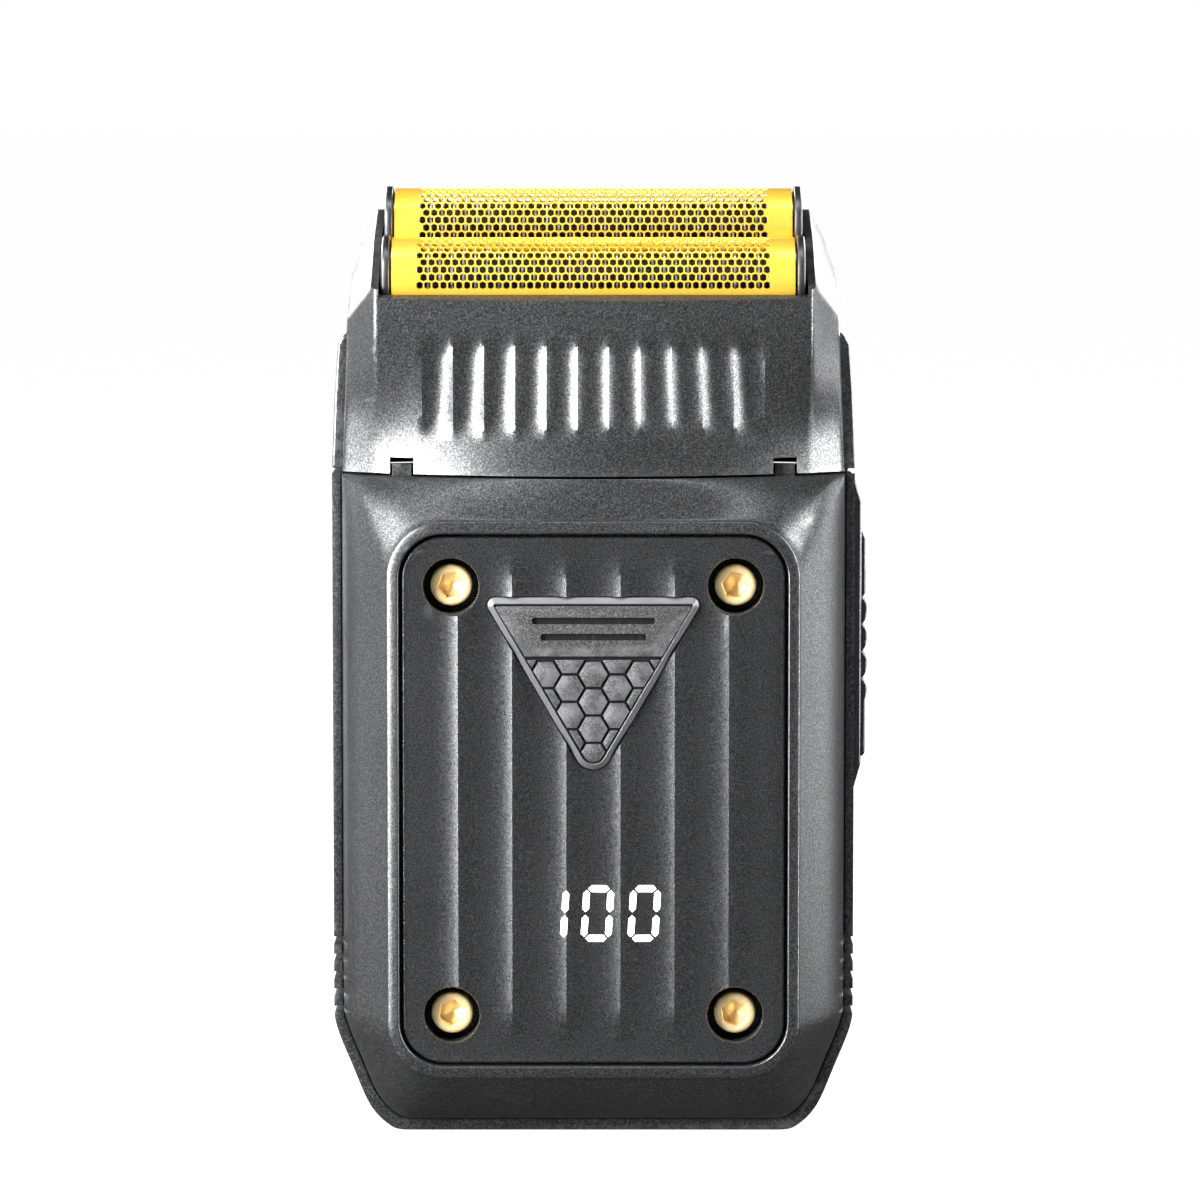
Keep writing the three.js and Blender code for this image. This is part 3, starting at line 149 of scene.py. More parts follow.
class Finish:
    # A material with one shader, and short ways to add the nodes it needs
    def __init__(self, name, colour, metallic=0.0, roughness=0.5, **more):
        self.material = bpy.data.materials.new(name)
        self.material.use_nodes = True
        self.tree = self.material.node_tree
        self.shader = self.tree.nodes["Principled BSDF"]
        self.set("Base Color", (*colour, 1))
        self.set("Metallic", metallic)
        self.set("Roughness", roughness)
        for socket, value in more.items():
            self.set(socket.replace("_", " "), value)
        self.material.diffuse_color = (*colour, 1)
        self.place = self.tree.nodes.new("ShaderNodeTexCoord").outputs["Object"]

    def set(self, socket, value):
        self.shader.inputs[socket].default_value = value

    def link(self, source, target):
        self.tree.links.new(source, target)

    def stretched(self, x, y, z):
        node = self.tree.nodes.new("ShaderNodeMapping")
        node.inputs["Scale"].default_value = (x, y, z)
        self.link(self.place, node.inputs["Vector"])
        return node.outputs[0]

    def noise(self, size, detail=2, rough=0.5, where=None):
        # size is the width of one patch in millimetres
        node = self.tree.nodes.new("ShaderNodeTexNoise")
        node.inputs["Scale"].default_value = 1 / (size * millimetre)
        node.inputs["Detail"].default_value = detail
        node.inputs["Roughness"].default_value = rough
        self.link(where or self.place, node.inputs["Vector"])
        return node.outputs[0]

    def steps(self, source, *stops):
        # stops are (position, colour or grey)
        node = self.tree.nodes.new("ShaderNodeValToRGB")
        ramp = node.color_ramp
        while len(ramp.elements) < len(stops):
            ramp.elements.new(0.5)
        for element, (position, value) in zip(ramp.elements, stops):
            element.position = position
            element.color = (*value, 1) if isinstance(value, tuple) else (value, value, value, 1)
        self.link(source, node.inputs[0])
        return node.outputs[0]

    def mixed(self, one, other, share, kind="MIX"):
        node = self.tree.nodes.new("ShaderNodeMix")
        node.data_type = "RGBA"
        node.blend_type = kind
        for source, socket in ((share, node.inputs[0]), (one, node.inputs[6]), (other, node.inputs[7])):
            if isinstance(source, bpy.types.NodeSocket):
                self.link(source, socket)
            elif isinstance(source, tuple):
                socket.default_value = (*source, 1)
            else:
                socket.default_value = source
        return node.outputs[2]

    def edges(self, low=0.5, high=0.56):
        # white on outward edges: the mask for a painted edge highlight
        node = self.tree.nodes.new("ShaderNodeNewGeometry")
        return self.steps(node.outputs["Pointiness"], (low, 0.0), (high, 1.0))

    def colour(self, source):
        self.link(source, self.shader.inputs["Base Color"])

    def rough(self, source, low, high):
        self.link(self.steps(source, (0.3, low), (0.7, high)), self.shader.inputs["Roughness"])

    def bump(self, source, depth, strength=1.0, after=None):
        node = self.tree.nodes.new("ShaderNodeBump")
        node.inputs["Strength"].default_value = strength
        node.inputs["Distance"].default_value = depth * millimetre
        self.link(source, node.inputs["Height"])
        if after:
            self.link(after, node.inputs["Normal"])
        self.link(node.outputs[0], self.shader.inputs["Normal"])
        return node.outputs[0]


def fleckedPaint(name, dark, middle, light, grain, roughness, depth, metallic=0.8, edge_highlight_grey=(0.34, 0.34, 0.35)):
    # Fine grained metallic paint: dark body, light flecks, soft clouding and a painted highlight on outward edges, in
    # patches
    f = Finish(name, middle, metallic, sum(roughness) / 2)
    fleck = f.steps(f.noise(grain, 3, 0.7), (0.36, dark), (0.5, middle), (0.64, light))
    cloud = f.steps(f.noise(14, 2), (0.35, 0.9), (0.65, 1.0))
    body = f.mixed(fleck, cloud, 1.0, "MULTIPLY")
    # painted highlight: outward edges turned lighter grey, stronger in some patches than in others
    painted_edge_highlight = f.mixed((0.0, 0.0, 0.0), f.edges(0.53, 0.62), f.steps(f.noise(1.6, 3), (0.4, 0.08), (0.6, 0.4)))
    f.colour(f.mixed(body, edge_highlight_grey, painted_edge_highlight))
    f.rough(f.noise(grain * 2.2, 3), *roughness)
    first = f.bump(f.noise(grain, 3, 0.65), depth)
    f.bump(f.noise(9, 1), 0.01, 0.5, first)
    return f.material


def glossPlastic(name, colour, roughness=(0.12, 0.2)):
    # Moulded gloss with faint wiping marks and a slight ripple
    f = Finish(name, colour, 0, 0.16, Coat_Weight=0.5, Coat_Roughness=0.08)
    marks = f.noise(0.5, 4, 0.6, f.stretched(1, 1, 0.12))
    paler = tuple(min(1, c * 1.8 + 0.012) for c in colour)
    f.colour(f.mixed(colour, paler, f.steps(marks, (0.52, 0.0), (0.8, 0.6))))
    f.rough(marks, *roughness)
    f.bump(f.noise(5, 2), 0.006, 0.6)
    return f.material


def brushedMetal(name, colour, tint, roughness, along=(1, 1, 0.05), grain=0.12, depth=0.004, aniso=0.4, metallic=1):
    # Metal with drawn lines, duller patches and slight tarnish
    f = Finish(name, colour, metallic, sum(roughness) / 2, Anisotropic=aniso)
    lines = f.noise(grain, 3, 0.6, f.stretched(*along))
    patch = f.noise(3.5, 3)
    f.colour(f.mixed(colour, tint, f.steps(patch, (0.38, 0.0), (0.72, 0.8))))
    f.rough(f.mixed(lines, patch, 0.4), *roughness)
    f.bump(lines, depth, 0.7)
    return f.material


def mouldedPlastic(name, colour, roughness=(0.45, 0.62), grain=0.35, depth=0.012):
    # Spark-eroded mould texture
    f = Finish(name, colour, 0, 0.5)
    darker = tuple(c * 0.78 for c in colour)
    f.colour(f.mixed(colour, darker, f.steps(f.noise(grain * 3, 4, 0.6), (0.4, 0.0), (0.7, 0.8))))
    f.rough(f.noise(grain * 2, 3), *roughness)
    f.bump(f.noise(grain, 4, 0.6), depth)
    return f.material


# Colours, patch sizes in millimetres, and low and high roughness
paints = {
    "shell_paint": {
        "dark": (0.03, 0.0305, 0.032), "middle": (0.067, 0.068, 0.07), "light": (0.16, 0.16, 0.163),
        "grain": 0.2, "roughness": (0.28, 0.36), "depth": 0.012,
    },
    "panel_paint": {
        "dark": (0.029, 0.0295, 0.031), "middle": (0.06, 0.061, 0.063), "light": (0.13, 0.13, 0.133),
        "grain": 0.18, "roughness": (0.26, 0.33), "depth": 0.009,
    },
    "badge_matte": {
        "dark": (0.035, 0.035, 0.036), "middle": (0.085, 0.085, 0.087), "light": (0.2, 0.2, 0.2),
        "grain": 0.16, "roughness": (0.45, 0.6), "depth": 0.03,
    },
}
glosses = {"badge_gloss": (0.012, 0.012, 0.013), "switch_gloss": (0.014, 0.014, 0.016)}
metals = {
    "badge_edge": {
        "colour": (0.22, 0.22, 0.225), "tint": (0.15, 0.15, 0.155), "roughness": (0.36, 0.46),
        "along": (1, 1, 1), "grain": 0.3, "depth": 0.003, "aniso": 0.0, "metallic": 0.7,
    },
    "gold_screw": {
        "colour": (1.0, 0.80, 0.42), "tint": (0.90, 0.62, 0.26), "roughness": (0.3, 0.48),
        "along": (1, 1, 1), "grain": 0.16, "depth": 0.012, "aniso": 0.0, "metallic": 0.55,
    },
    "steel": {"colour": (0.60, 0.60, 0.61), "tint": (0.46, 0.46, 0.48), "roughness": (0.25, 0.4)},
    "blade_steel": {
        "colour": (0.82, 0.82, 0.84), "tint": (0.62, 0.63, 0.66), "roughness": (0.22, 0.34), "along": (0.1, 1, 1),
    },
    "motor_can": {
        "colour": (0.52, 0.52, 0.52), "tint": (0.42, 0.41, 0.40), "roughness": (0.28, 0.42), "along": (1, 1, 0.06),
    },
    "cap_metal": {
        "colour": (0.15, 0.155, 0.165), "tint": (0.09, 0.09, 0.1), "roughness": (0.3, 0.4),
        "along": (1, 0.15, 0.15), "grain": 0.2, "depth": 0.003, "aniso": 0.3,
    },
}
plastics = {
    "black_plastic": {"colour": (0.018, 0.018, 0.019)},
    "white_plastic": {"colour": (0.78, 0.78, 0.76), "roughness": (0.35, 0.5), "grain": 0.5, "depth": 0.006},
    "seal_rubber": {"colour": (0.022, 0.022, 0.022), "roughness": (0.75, 0.9), "grain": 0.2, "depth": 0.01},
}
finishes = {name: fleckedPaint(name, **values) for name, values in paints.items()}
finishes.update((name, glossPlastic(name, colour)) for name, colour in glosses.items())
finishes.update((name, brushedMetal(name, **values)) for name, values in metals.items())
finishes.update((name, mouldedPlastic(name, **values)) for name, values in plastics.items())


def goldFoil():
    # Thin gold coated foil: fine rolling lines across it, warmer patches, small dull spots
    f = Finish("gold_foil", (1.0, 0.64, 0.08), 0.68, 0.3, Anisotropic=0.3)
    lines = f.noise(0.10, 3, 0.6, f.stretched(1, 0.08, 0.08))
    patch = f.noise(5, 3)
    f.colour(f.mixed((1.0, 0.67, 0.09), (0.98, 0.57, 0.045), f.steps(patch, (0.35, 0.0), (0.7, 0.8))))
    f.rough(f.mixed(lines, patch, 0.5), 0.24, 0.38)
    f.bump(lines, 0.003, 0.8)
    return f.material


def litLens():
    # Frosted strokes lit from behind, a little brighter in the middle of each patch
    f = Finish("lit_lens", (0.9, 0.92, 0.95), 0, 0.35)
    glow = f.noise(1.1, 2)
    f.link(f.steps(glow, (0.3, (0.93, 0.95, 1.0)), (0.7, (1.0, 1.0, 1.0))), f.shader.inputs["Emission Color"])
    f.set("Emission Strength", 2.6)
    f.rough(glow, 0.3, 0.45)
    f.bump(f.noise(0.2, 2), 0.004, 0.5)
    return f.material


def circuitBoard():
    # Green solder mask over copper tracks
    f = Finish("board_green", (0.02, 0.16, 0.07), 0, 0.35, Coat_Weight=0.4)
    tracks = f.tree.nodes.new("ShaderNodeTexBrick")
    tracks.inputs["Scale"].default_value = 320
    tracks.inputs["Color1"].default_value = (0.02, 0.15, 0.06, 1)
    tracks.inputs["Color2"].default_value = (0.025, 0.19, 0.08, 1)
    tracks.inputs["Mortar"].default_value = (0.05, 0.27, 0.12, 1)
    f.link(f.place, tracks.inputs["Vector"])
    f.colour(f.mixed(tracks.outputs[0], (0.012, 0.10, 0.045), f.steps(f.noise(2.2, 3), (0.4, 0.0), (0.7, 0.7))))
    f.rough(f.noise(1.2, 3), 0.28, 0.45)
    f.bump(tracks.outputs["Fac"], 0.02, 0.6)
    return f.material


def shrinkWrap():
    # Heat-shrunk cell sleeve
    f = Finish("cell_wrap", (0.05, 0.16, 0.42), 0, 0.3, Coat_Weight=0.3)
    folds = f.noise(4, 3, 0.5, f.stretched(1, 1, 0.25))
    f.colour(f.mixed((0.05, 0.16, 0.42), (0.03, 0.11, 0.32), f.steps(folds, (0.4, 0.0), (0.7, 0.9))))
    f.rough(folds, 0.24, 0.42)
    f.bump(folds, 0.05, 0.5)
    return f.material


finishes["gold_foil"] = goldFoil()
finishes["lit_lens"] = litLens()
finishes["board_green"] = circuitBoard()
finishes["cell_wrap"] = shrinkWrap()


def paleFloor():
    f = Finish("pale_floor", (0.12, 0.12, 0.12), 0, 0.9)
    f.colour(f.steps(f.noise(60, 3), (0.3, 0.10), (0.7, 0.13)))
    f.set("Emission Color", (1, 1, 1, 1))
    f.set("Emission Strength", studio["floorGlow"])
    f.bump(f.noise(3, 3), 0.02, 0.2)
    return f.material


floorCorners = [(-6, -3, 0), (6, -3, 0), (6, 12, 0), (-6, 12, 0)]  # metres
floorMesh = bpy.data.meshes.new("floor")
floorMesh.from_pydata(floorCorners, [], [(0, 1, 2, 3)])
floorMesh.materials.append(paleFloor())
floor = bpy.data.objects.new("floor", floorMesh)
bpy.context.scene.collection.objects.link(floor)
floor.location = (0, 0, -0.00005)  # just under the base, so that the two don't share a surface
floor.visible_glossy = False
print("finishes and studio ready")


def boxOf(node):
    low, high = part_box(node)
    return np.array(low) / millimetre, np.array(high) / millimetre


def screwSpots(kind):
    # Middle of each screw, across and up
    for n in range(1, 5):
        low, high = boxOf(f"{kind}_screw_{n}")
        yield (low[0] + high[0]) / 2, (low[2] + high[2]) / 2


def newObject(name, points, faces):
    mesh = bpy.data.meshes.new(name)
    mesh.from_pydata([tuple(map(float, p)) for p in points], [], faces)
    obj = bpy.data.objects.new(name, mesh)
    bpy.context.scene.collection.objects.link(obj)
    faceOut(obj)
    return obj


def faceOut(obj):
    bm = bmesh.new()
    bm.from_mesh(obj.data)
    bmesh.ops.recalc_face_normals(bm, faces=bm.faces)
    bm.to_mesh(obj.data)
    bm.free()


def skin(name, rings, loop=False):
    # Skin over rings of equal count; the ends are closed unless the last ring joins the first
    count = len(rings[0])
    points = [p for ring in rings for p in ring]
    pairs = [(k, k + 1) for k in range(len(rings) - 1)]
    if loop:
        pairs.append((len(rings) - 1, 0))
    faces = []
    for a, b in pairs:
        for i in range(count):
            j = (i + 1) % count
            faces.append((a * count + i, a * count + j, b * count + j, b * count + i))
    if not loop:
        faces.append(tuple(range(count)))
        last = (len(rings) - 1) * count
        faces.append(tuple(last + i for i in reversed(range(count))))
    return newObject(name, points, faces)


def block(x0, x1, y0, y1, z0, z1):
    return skin("block", [[(x0, y, z0), (x1, y, z0), (x1, y, z1), (x0, y, z1)] for y in (y0, y1)])


def upright(outline, y):
    # Stands a flat outline up at one depth
    outline = np.array(outline, float)
    return np.column_stack([outline[:, 0], np.full(len(outline), y), outline[:, 1]])


def plateOf(outline, y0, y1):
    return skin("plate", [upright(outline, y) for y in (y0, y1)])


def combine(obj, other, how="DIFFERENCE"):
    step = obj.modifiers.new("combine", "BOOLEAN")
    step.operation = how
    step.solver = "MANIFOLD"
    step.object = other
    keepModified(obj)
    bpy.data.objects.remove(other)
    return obj


def keepModified(obj):
    graph = bpy.context.evaluated_depsgraph_get()
    mesh = bpy.data.meshes.new_from_object(obj.evaluated_get(graph))
    obj.modifiers.clear()
    obj.data = mesh


def joined(name, objects):
    bm = bmesh.new()
    for obj in objects:
        bm.from_mesh(obj.data)
    mesh = bpy.data.meshes.new(name)
    bm.to_mesh(mesh)
    bm.free()
    for obj in objects:
        bpy.data.objects.remove(obj)
    made = bpy.data.objects.new(name, mesh)
    bpy.context.scene.collection.objects.link(made)
    return made


def softenEdges(obj, width, angle=40, segments=2, where=None):
    # Rounds the edges that turn by more than angle
    bm = bmesh.new()
    bm.from_mesh(obj.data)
    bmesh.ops.remove_doubles(bm, verts=bm.verts, dist=0.004)
    bmesh.ops.dissolve_degenerate(bm, edges=bm.edges, dist=0.004)
    limit = math.radians(angle)
    chosen = [
        e for e in bm.edges
        if len(e.link_faces) == 2 and e.calc_face_angle(0) > limit
        and (where is None or where((e.verts[0].co + e.verts[1].co) / 2))
    ]
    bmesh.ops.bevel(bm, geom=chosen, offset=width, segments=segments, profile=0.5, affect="EDGES", clamp_overlap=True)
    bmesh.ops.remove_doubles(bm, verts=bm.verts, dist=0.002)
    bmesh.ops.recalc_face_normals(bm, faces=bm.faces)
    bm.to_mesh(obj.data)
    bm.free()


def place(obj, name, slotName, node, *others, smooth=35, finish=None):
    # Gives a finished mesh its finish and its body, in place of its CAD nodes
    obj.name = obj.data.name = name
    obj.data.transform(Matrix.Scale(millimetre, 4))
    if not any(obj.data.materials):
        obj.data.materials.clear()
        obj.data.materials.append(finishes[finish or slotName])
    obj.data.polygons.foreach_set("use_smooth", [True] * len(obj.data.polygons))
    obj.data.set_sharp_from_angle(angle=math.radians(smooth))
    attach(obj, cadNodes[node]["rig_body"])
    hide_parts(node, *others)
    return obj


def lerp(a, b, t):
    return a + (b - a) * t


def smoothStep(t):
    t = np.clip(t, 0, 1)
    return t * t * (3 - 2 * t)


def slopeAt(p, k, step, corners):
    # Direction of a curve at its point k: half way between its neighbours, or straight on at a corner
    if k == 0 or k == len(p) - 1 or k in corners:
        return step
    before, after = p[k] - p[k - 1], p[k + 1] - p[k]
    t = (before + after) / 2
    most = 1.6 * min(np.linalg.norm(before), np.linalg.norm(after))
    return t * min(1, most / max(1e-9, np.linalg.norm(t)))


def curveThrough(points, steps, corners=()):
    # Smooth curve through points, sharp at the listed corners
    p = np.array(points, float)
    out = []
    for i in range(len(p) - 1):
        step = p[i + 1] - p[i]
        a, b = slopeAt(p, i, step, corners), slopeAt(p, i + 1, step, corners)
        for s in np.arange(steps) / steps:
            out.append(
                p[i] * (2 * s**3 - 3 * s**2 + 1) + a * (s**3 - 2 * s**2 + s)
                + p[i + 1] * (3 * s**2 - 2 * s**3) + b * (s**3 - s**2)
            )
    out.append(p[-1])
    return np.array(out)


def wholeRing(half):
    # Right half from top to bottom, closed with its mirror image
    left = half[1:-1][::-1].copy()
    left[:, 0] *= -1
    return np.vstack([half, left])


def arc(cx, cz, r, start, end, count):
    a = np.radians(np.linspace(start, end, count))
    return np.stack([cx + r * np.cos(a), cz + r * np.sin(a)], 1)


panelLow, panelHigh = boxOf("front_panel")
rearLow, rearHigh = boxOf("rear_shell")
frontLow, frontHigh = boxOf("front_shell")
badgeLow, badgeHigh = boxOf("badge")
bodyTop = rearHigh[2]
panelHalf = panelHigh[0]
panelRise = (panelHigh[2] - panelLow[2]) / 2
panelMid = (panelHigh[2] + panelLow[2]) / 2
ringSteps = 8  # points from one station of an outline to the next

body = {
    "baseHalf": 22.4,  # flat of the base
    "cornerRise": 16.2,
    "wall": 1.8,
    "bezelBorder": (1.9, 1.95),  # outside the panel, across and up
    "bezelRadius": 6.8,
    "panelFit": 0.35,
    "pocketRadius": 5.25,
    "faceY": -15.8,  # front shell round the bezel
    "bezelY": -16.6,
    "seatY": -14.1,
    "partingY": -5.15,
    "seamY": -14.6,  # middle of the seam, front
    "backY": 16.5,
    "backSeamY": 15.5,
    "rearEdgeY": 5,
    "rearLeadY": -4.7,
    "edge": 0.16,
}
screwSeat = {
    "seat": 6.2, "post": 2.9, "hole": 1.5,  # radii
    "gap": 0.3, "floor": 1.2,  # round a boss and under it
}
rearScrewSeat = {"post": 3.9, "postDepth": 4.6, "hole": 2.7, "holeDepth": 2.6}
latch = {"across": 22.65, "half": 1.12, "front": 0.35, "back": 1.1}  # tabs that stand in the head's notches
channel = (  # round the back: inset, depth
    (4.6, 0), (3.6, 0), (3.4, 0.1), (3.3, 0.3), (3.0, 0.35), (2.7, 0.3), (2.6, 0.1), (2.4, 0), (0.5, 0),
)
vents = {"low": 14.1, "pitch": 2.1, "height": 0.95, "count": 5}
switchHole = {"front": -0.5, "back": 2.9, "low": 55.4, "high": 66}

panel = {
    "faceY": -16.0,
    "backY": -14.4,
    "radius": 4.9,
    "pitch": 6.36,
    "count": 5,
    "rise": 0.62,
    "edge": 0.28,
    "wellRadius": 3.28,
    "wellDepth": 4.3,
    "bossRadius": 4.6,
}


def roundedHalf(w, top, low, r):
    out = []
    for k in range(18 * ringSteps + 1):
        u = k / ringSteps
        if u <= 3:
            out.append((np.interp(u, (0, 1, 2, 3), (0, 0.35, 0.7, 1)) * (w - r), top))
        elif u <= 7:
            a = math.radians(90 - (u - 3) * 22.5)
            out.append((w - r + r * math.cos(a), top - r + r * math.sin(a)))
        elif u <= 11:
            levels = (top - r, lerp(top, low, 0.35), (top + low) / 2, lerp(top, low, 0.65), low + r)
            out.append((w, np.interp(u, (7, 8, 9, 10, 11), levels)))
        elif u <= 15:
            a = math.radians((11 - u) * 22.5)
            out.append((w - r + r * math.cos(a), low + r + r * math.sin(a)))
        else:
            out.append((np.interp(u, (15, 16, 17, 18), (1, 0.7, 0.35, 0)) * (w - r), low))
    return np.array(out)


def bodyHalf(w, low, top):
    full = rearHigh[0]
    flat = body["baseHalf"] - (full - w) * 0.7
    rise = body["cornerRise"] - (full - w) * 0.6
    run = w - flat
    stations = [(k * w, top) for k in (0, 0.23, 0.47, 0.68, 0.82, 0.93, 1)]
    stations += [(w, top - 8)] + [(w, lerp(top, low, k)) for k in (0.35, 0.5, 0.65)]
    cornerCurve = ((0, 1), (0.03, 0.79), (0.25, 0.485), (0.49, 0.19), (0.75, 0.04))
    stations += [(w - run * a, low + rise * b) for a, b in cornerCurve]
    stations += [(flat, low), (flat * 0.5, low), (0, low)]
    return curveThrough(stations, ringSteps, corners=(6,))


def bowed(x, w, edge, middle):
    return middle + (edge - middle) * np.minimum(1, (x / w) ** 2)


def fullBow(x, w, edge, middle):
    return edge + (middle - edge) * np.sqrt(np.maximum(0, 1 - (x / w) ** 4))


def slopeRings(face, faceY, w, low, top, edgeY, middleY, depth, count, even=40):
    # From a flat face out to the rim, swelling between them; the top corners are blended
    outline = bodyHalf(w, low, top)
    onTop = np.abs(outline[:, 1] - top) < 1e-6
    rimY = np.where(onTop, depth(outline[:, 0], w, edgeY, middleY), edgeY)
    rings = []
    for s in np.linspace(0, 1, count):
        t = 0.4 * s + 0.6 * math.sin(s * math.pi / 2)
        xz = lerp(face, outline, t)
        rings.append(np.column_stack([xz[:, 0], lerp(faceY, rimY, s), xz[:, 1]]))
    rings = [wholeRing(r) for r in rings]
    for ring, s in zip(rings[1:-1], np.linspace(0, 1, count)[1:-1]):
        keep = ring.copy()
        for _ in range(even):
            ring += 0.5 * (0.5 * (np.roll(ring, 1, 0) + np.roll(ring, -1, 0)) - ring)
        near = np.exp(-(((np.abs(keep[:, 0]) - w * 0.96) / 7) ** 2) - ((keep[:, 2] - top + 2) / 8) ** 2)
        blend = (near * (1 - s**6) * min(1, s * 5))[:, None]
        ring[:] = lerp(keep, ring, blend)
    return rings


def frontShell():
    b = body
    pocket = (panelHalf + b["panelFit"], panelRise + b["panelFit"], b["pocketRadius"])
    bezel = (panelHalf + b["bezelBorder"][0], panelRise + b["bezelBorder"][1], b["bezelRadius"])

    def rim(q, y):
        w, h, r = (lerp(p, o, q) for p, o in zip(pocket, bezel))
        half = roundedHalf(w, panelMid + h, panelMid - h, r)
        return wholeRing(upright(half, y))

    crest = b["bezelY"]
    rings = [rim(0, b["seatY"]), rim(0, crest + 0.22)]
    crestLine = ((0.02, 0.10), (0.06, 0.03), (0.12, 0.0), (0.18, 0.01), (0.5, 0.13), (0.80, 0.27))
    outerLine = ((0.87, 0.34), (0.92, 0.45), (0.945, 0.58), (0.96, 0.70), (1.0, 0.785))
    rings += [rim(q, crest + d) for q, d in crestLine + outerLine]
    face = roundedHalf(bezel[0], panelMid + bezel[1], panelMid - bezel[1], bezel[2])
    top, low = bodyTop, frontLow[2]
    slope = slopeRings(face, b["faceY"], frontHigh[0], low, top, b["partingY"] - 0.15, b["seamY"], bowed, 22)
    back = slope[-1].copy()
    back[:, 1] = b["partingY"]
    solid = skin("front", rings + slope[1:] + [back])
    wall = b["wall"]
    insideFace = roundedHalf(bezel[0] - wall, panelMid + bezel[1] - wall, panelMid - bezel[1] + wall, bezel[2] - 1)
    inner = slopeRings(
        insideFace, b["seatY"] + 1.4, frontHigh[0] - wall, low + wall, top + 0.05,
        b["partingY"] - 0.15, b["seamY"] + wall, bowed, 8,
    )
    mouth = inner[-1].copy()
    mouth[:, 1] = b["partingY"] + 3
    combine(solid, skin("inside", inner[:-1] + [mouth]))
    t = screwSeat
    floorY = panel["faceY"] + panel["wellDepth"] + t["floor"]
    well = panel["bossRadius"] + t["gap"]
    for x, z in screwSpots("panel"):
        combine(solid, turned("seat", [(t["seat"], b["seatY"] + 0.3), (t["seat"], floorY + 1.3)], x, z), "UNION")
        combine(solid, turned("post", [(t["post"], floorY + 0.5), (t["post"], floorY + 6.9)], x, z), "UNION")
        combine(solid, turned("well", [(well, b["seatY"] - 1), (well, floorY)], x, z))
        combine(solid, turned("hole", [(t["hole"], floorY - 2), (t["hole"], floorY + 12)], x, z))
    low, high = boxOf("display_module")
    combine(solid, block(low[0] - 0.8, high[0] + 0.8, b["seatY"] - 1, b["seatY"] + 3, low[2] - 0.8, high[2] + 0.8))
    half = latch["half"]
    y = bowed(latch["across"], frontHigh[0], b["partingY"], b["seamY"])
    for x in (-latch["across"], latch["across"]):
        tab = block(x - half, x + half, y + latch["front"], y + latch["back"], top - 1, frontHigh[2])
        combine(solid, tab, "UNION")
    softenEdges(solid, b["edge"], 48, 2, lambda p: p.y > -15)
    place(solid, "front_shell_fine", "shell_paint", "front_shell")


def rearShell():
    b = body
    w, h, r = panelHalf + b["bezelBorder"][0], panelRise + b["bezelBorder"][1], 8
    y = b["backY"]

    def ringAt(inset, depth):
        half = roundedHalf(w - inset, panelMid + h - inset, panelMid - h + inset, r - inset * 0.6)
        return wholeRing(upright(half, depth))

    middle = [ringAt(inset, y - depth) for inset, depth in channel]
    face = roundedHalf(w, panelMid + h, panelMid - h, r)
    outer = slopeRings(face, y, rearHigh[0], 0, bodyTop, b["rearEdgeY"], b["backSeamY"], fullBow, 22, 20)
    lead = outer[-1].copy()
    lead[:, 1] = b["rearLeadY"]
    solid = skin("rear", middle + outer + [lead])
    rim = bodyHalf(frontHigh[0] + 0.2, frontLow[2] - 0.2, bodyTop + 1)  # shadow gap round the front shell
    combine(solid, plateOf(wholeRing(rim), b["rearLeadY"] - 1, b["rearLeadY"] + 0.5))
    t = b["wall"]
    insideFace = roundedHalf(w - t, panelMid + h - t, panelMid - h + t, r - 1)
    inner = slopeRings(
        insideFace, y - t, rearHigh[0] - t, t, bodyTop + 0.05, b["rearEdgeY"], b["backSeamY"] - t, fullBow, 8,
    )
    mouth = inner[-1].copy()
    mouth[:, 1] = b["rearLeadY"] - 3
    combine(solid, skin("inside", inner[:-1] + [mouth]))
    post, hole = rearScrewSeat["post"], rearScrewSeat["hole"]
    for x, z in screwSpots("rear"):
        combine(solid, turned("post", [(post, y - rearScrewSeat["postDepth"]), (post, y - 1)], x, z), "UNION")
        narrow = [(hole, y - rearScrewSeat["holeDepth"]), (hole, y - 0.25)]
        wide = [(hole + 0.25, y + 0.05), (hole + 0.3, y + 1)]
        combine(solid, turned("hole", narrow + wide, x, z))
    half = rearHigh[0]
    for side in (-1, 1):
        for n in range(vents["count"]):
            z = vents["low"] + n * vents["pitch"]
            a, c = sorted((side * (half - 4), side * (half + 1)))
            combine(solid, block(a, c, b["rearLeadY"] - 1, 4.2, z, z + vents["height"]))
    low, high = boxOf("switch_base")
    combine(solid, block(low[0] - 0.3, half + 3, low[1] - 0.3, high[1] + 0.3, low[2] - 0.3, high[2] + 3))
    combine(solid, block(half - 4, half + 1, *switchHole.values()))
    low, high = boxOf("charge_port")
    combine(solid, block(low[0] - 0.4, high[0] + 0.4, low[1] - 0.3, high[1] + 0.3, -1, t + 1))
    low, high = boxOf("charge_light")
    hole = turned("hole", [(0.85, -1), (0.85, t + 1)], 0, 0)
    hole.data.transform(Matrix.Rotation(math.radians(90), 4, "X"))
    hole.data.transform(Matrix.Translation(((low[0] + high[0]) / 2, (low[1] + high[1]) / 2, 0.6)))
    combine(solid, hole)
    softenEdges(solid, b["edge"], 50, 2, lambda p: p.y < 15.8)
    for v in solid.data.vertices:  # the smoothed outline stays within the model's own box
        v.co.x = min(max(v.co.x, rearLow[0]), rearHigh[0])
        v.co.z = max(v.co.z, rearLow[2])
    place(solid, "rear_shell_fine", "shell_paint", "rear_shell")


def turned(name, profile, x, z, sides=48):
    # Turned about a line that runs front to back: (radius, y) pairs
    angles = np.arange(sides) * 2 * math.pi / sides
    rings = [np.column_stack([x + r * np.cos(angles), np.full(sides, y), z + r * np.sin(angles)]) for r, y in profile]
    return skin(name, rings)


frontShell()
rearShell()
print("body shells made")


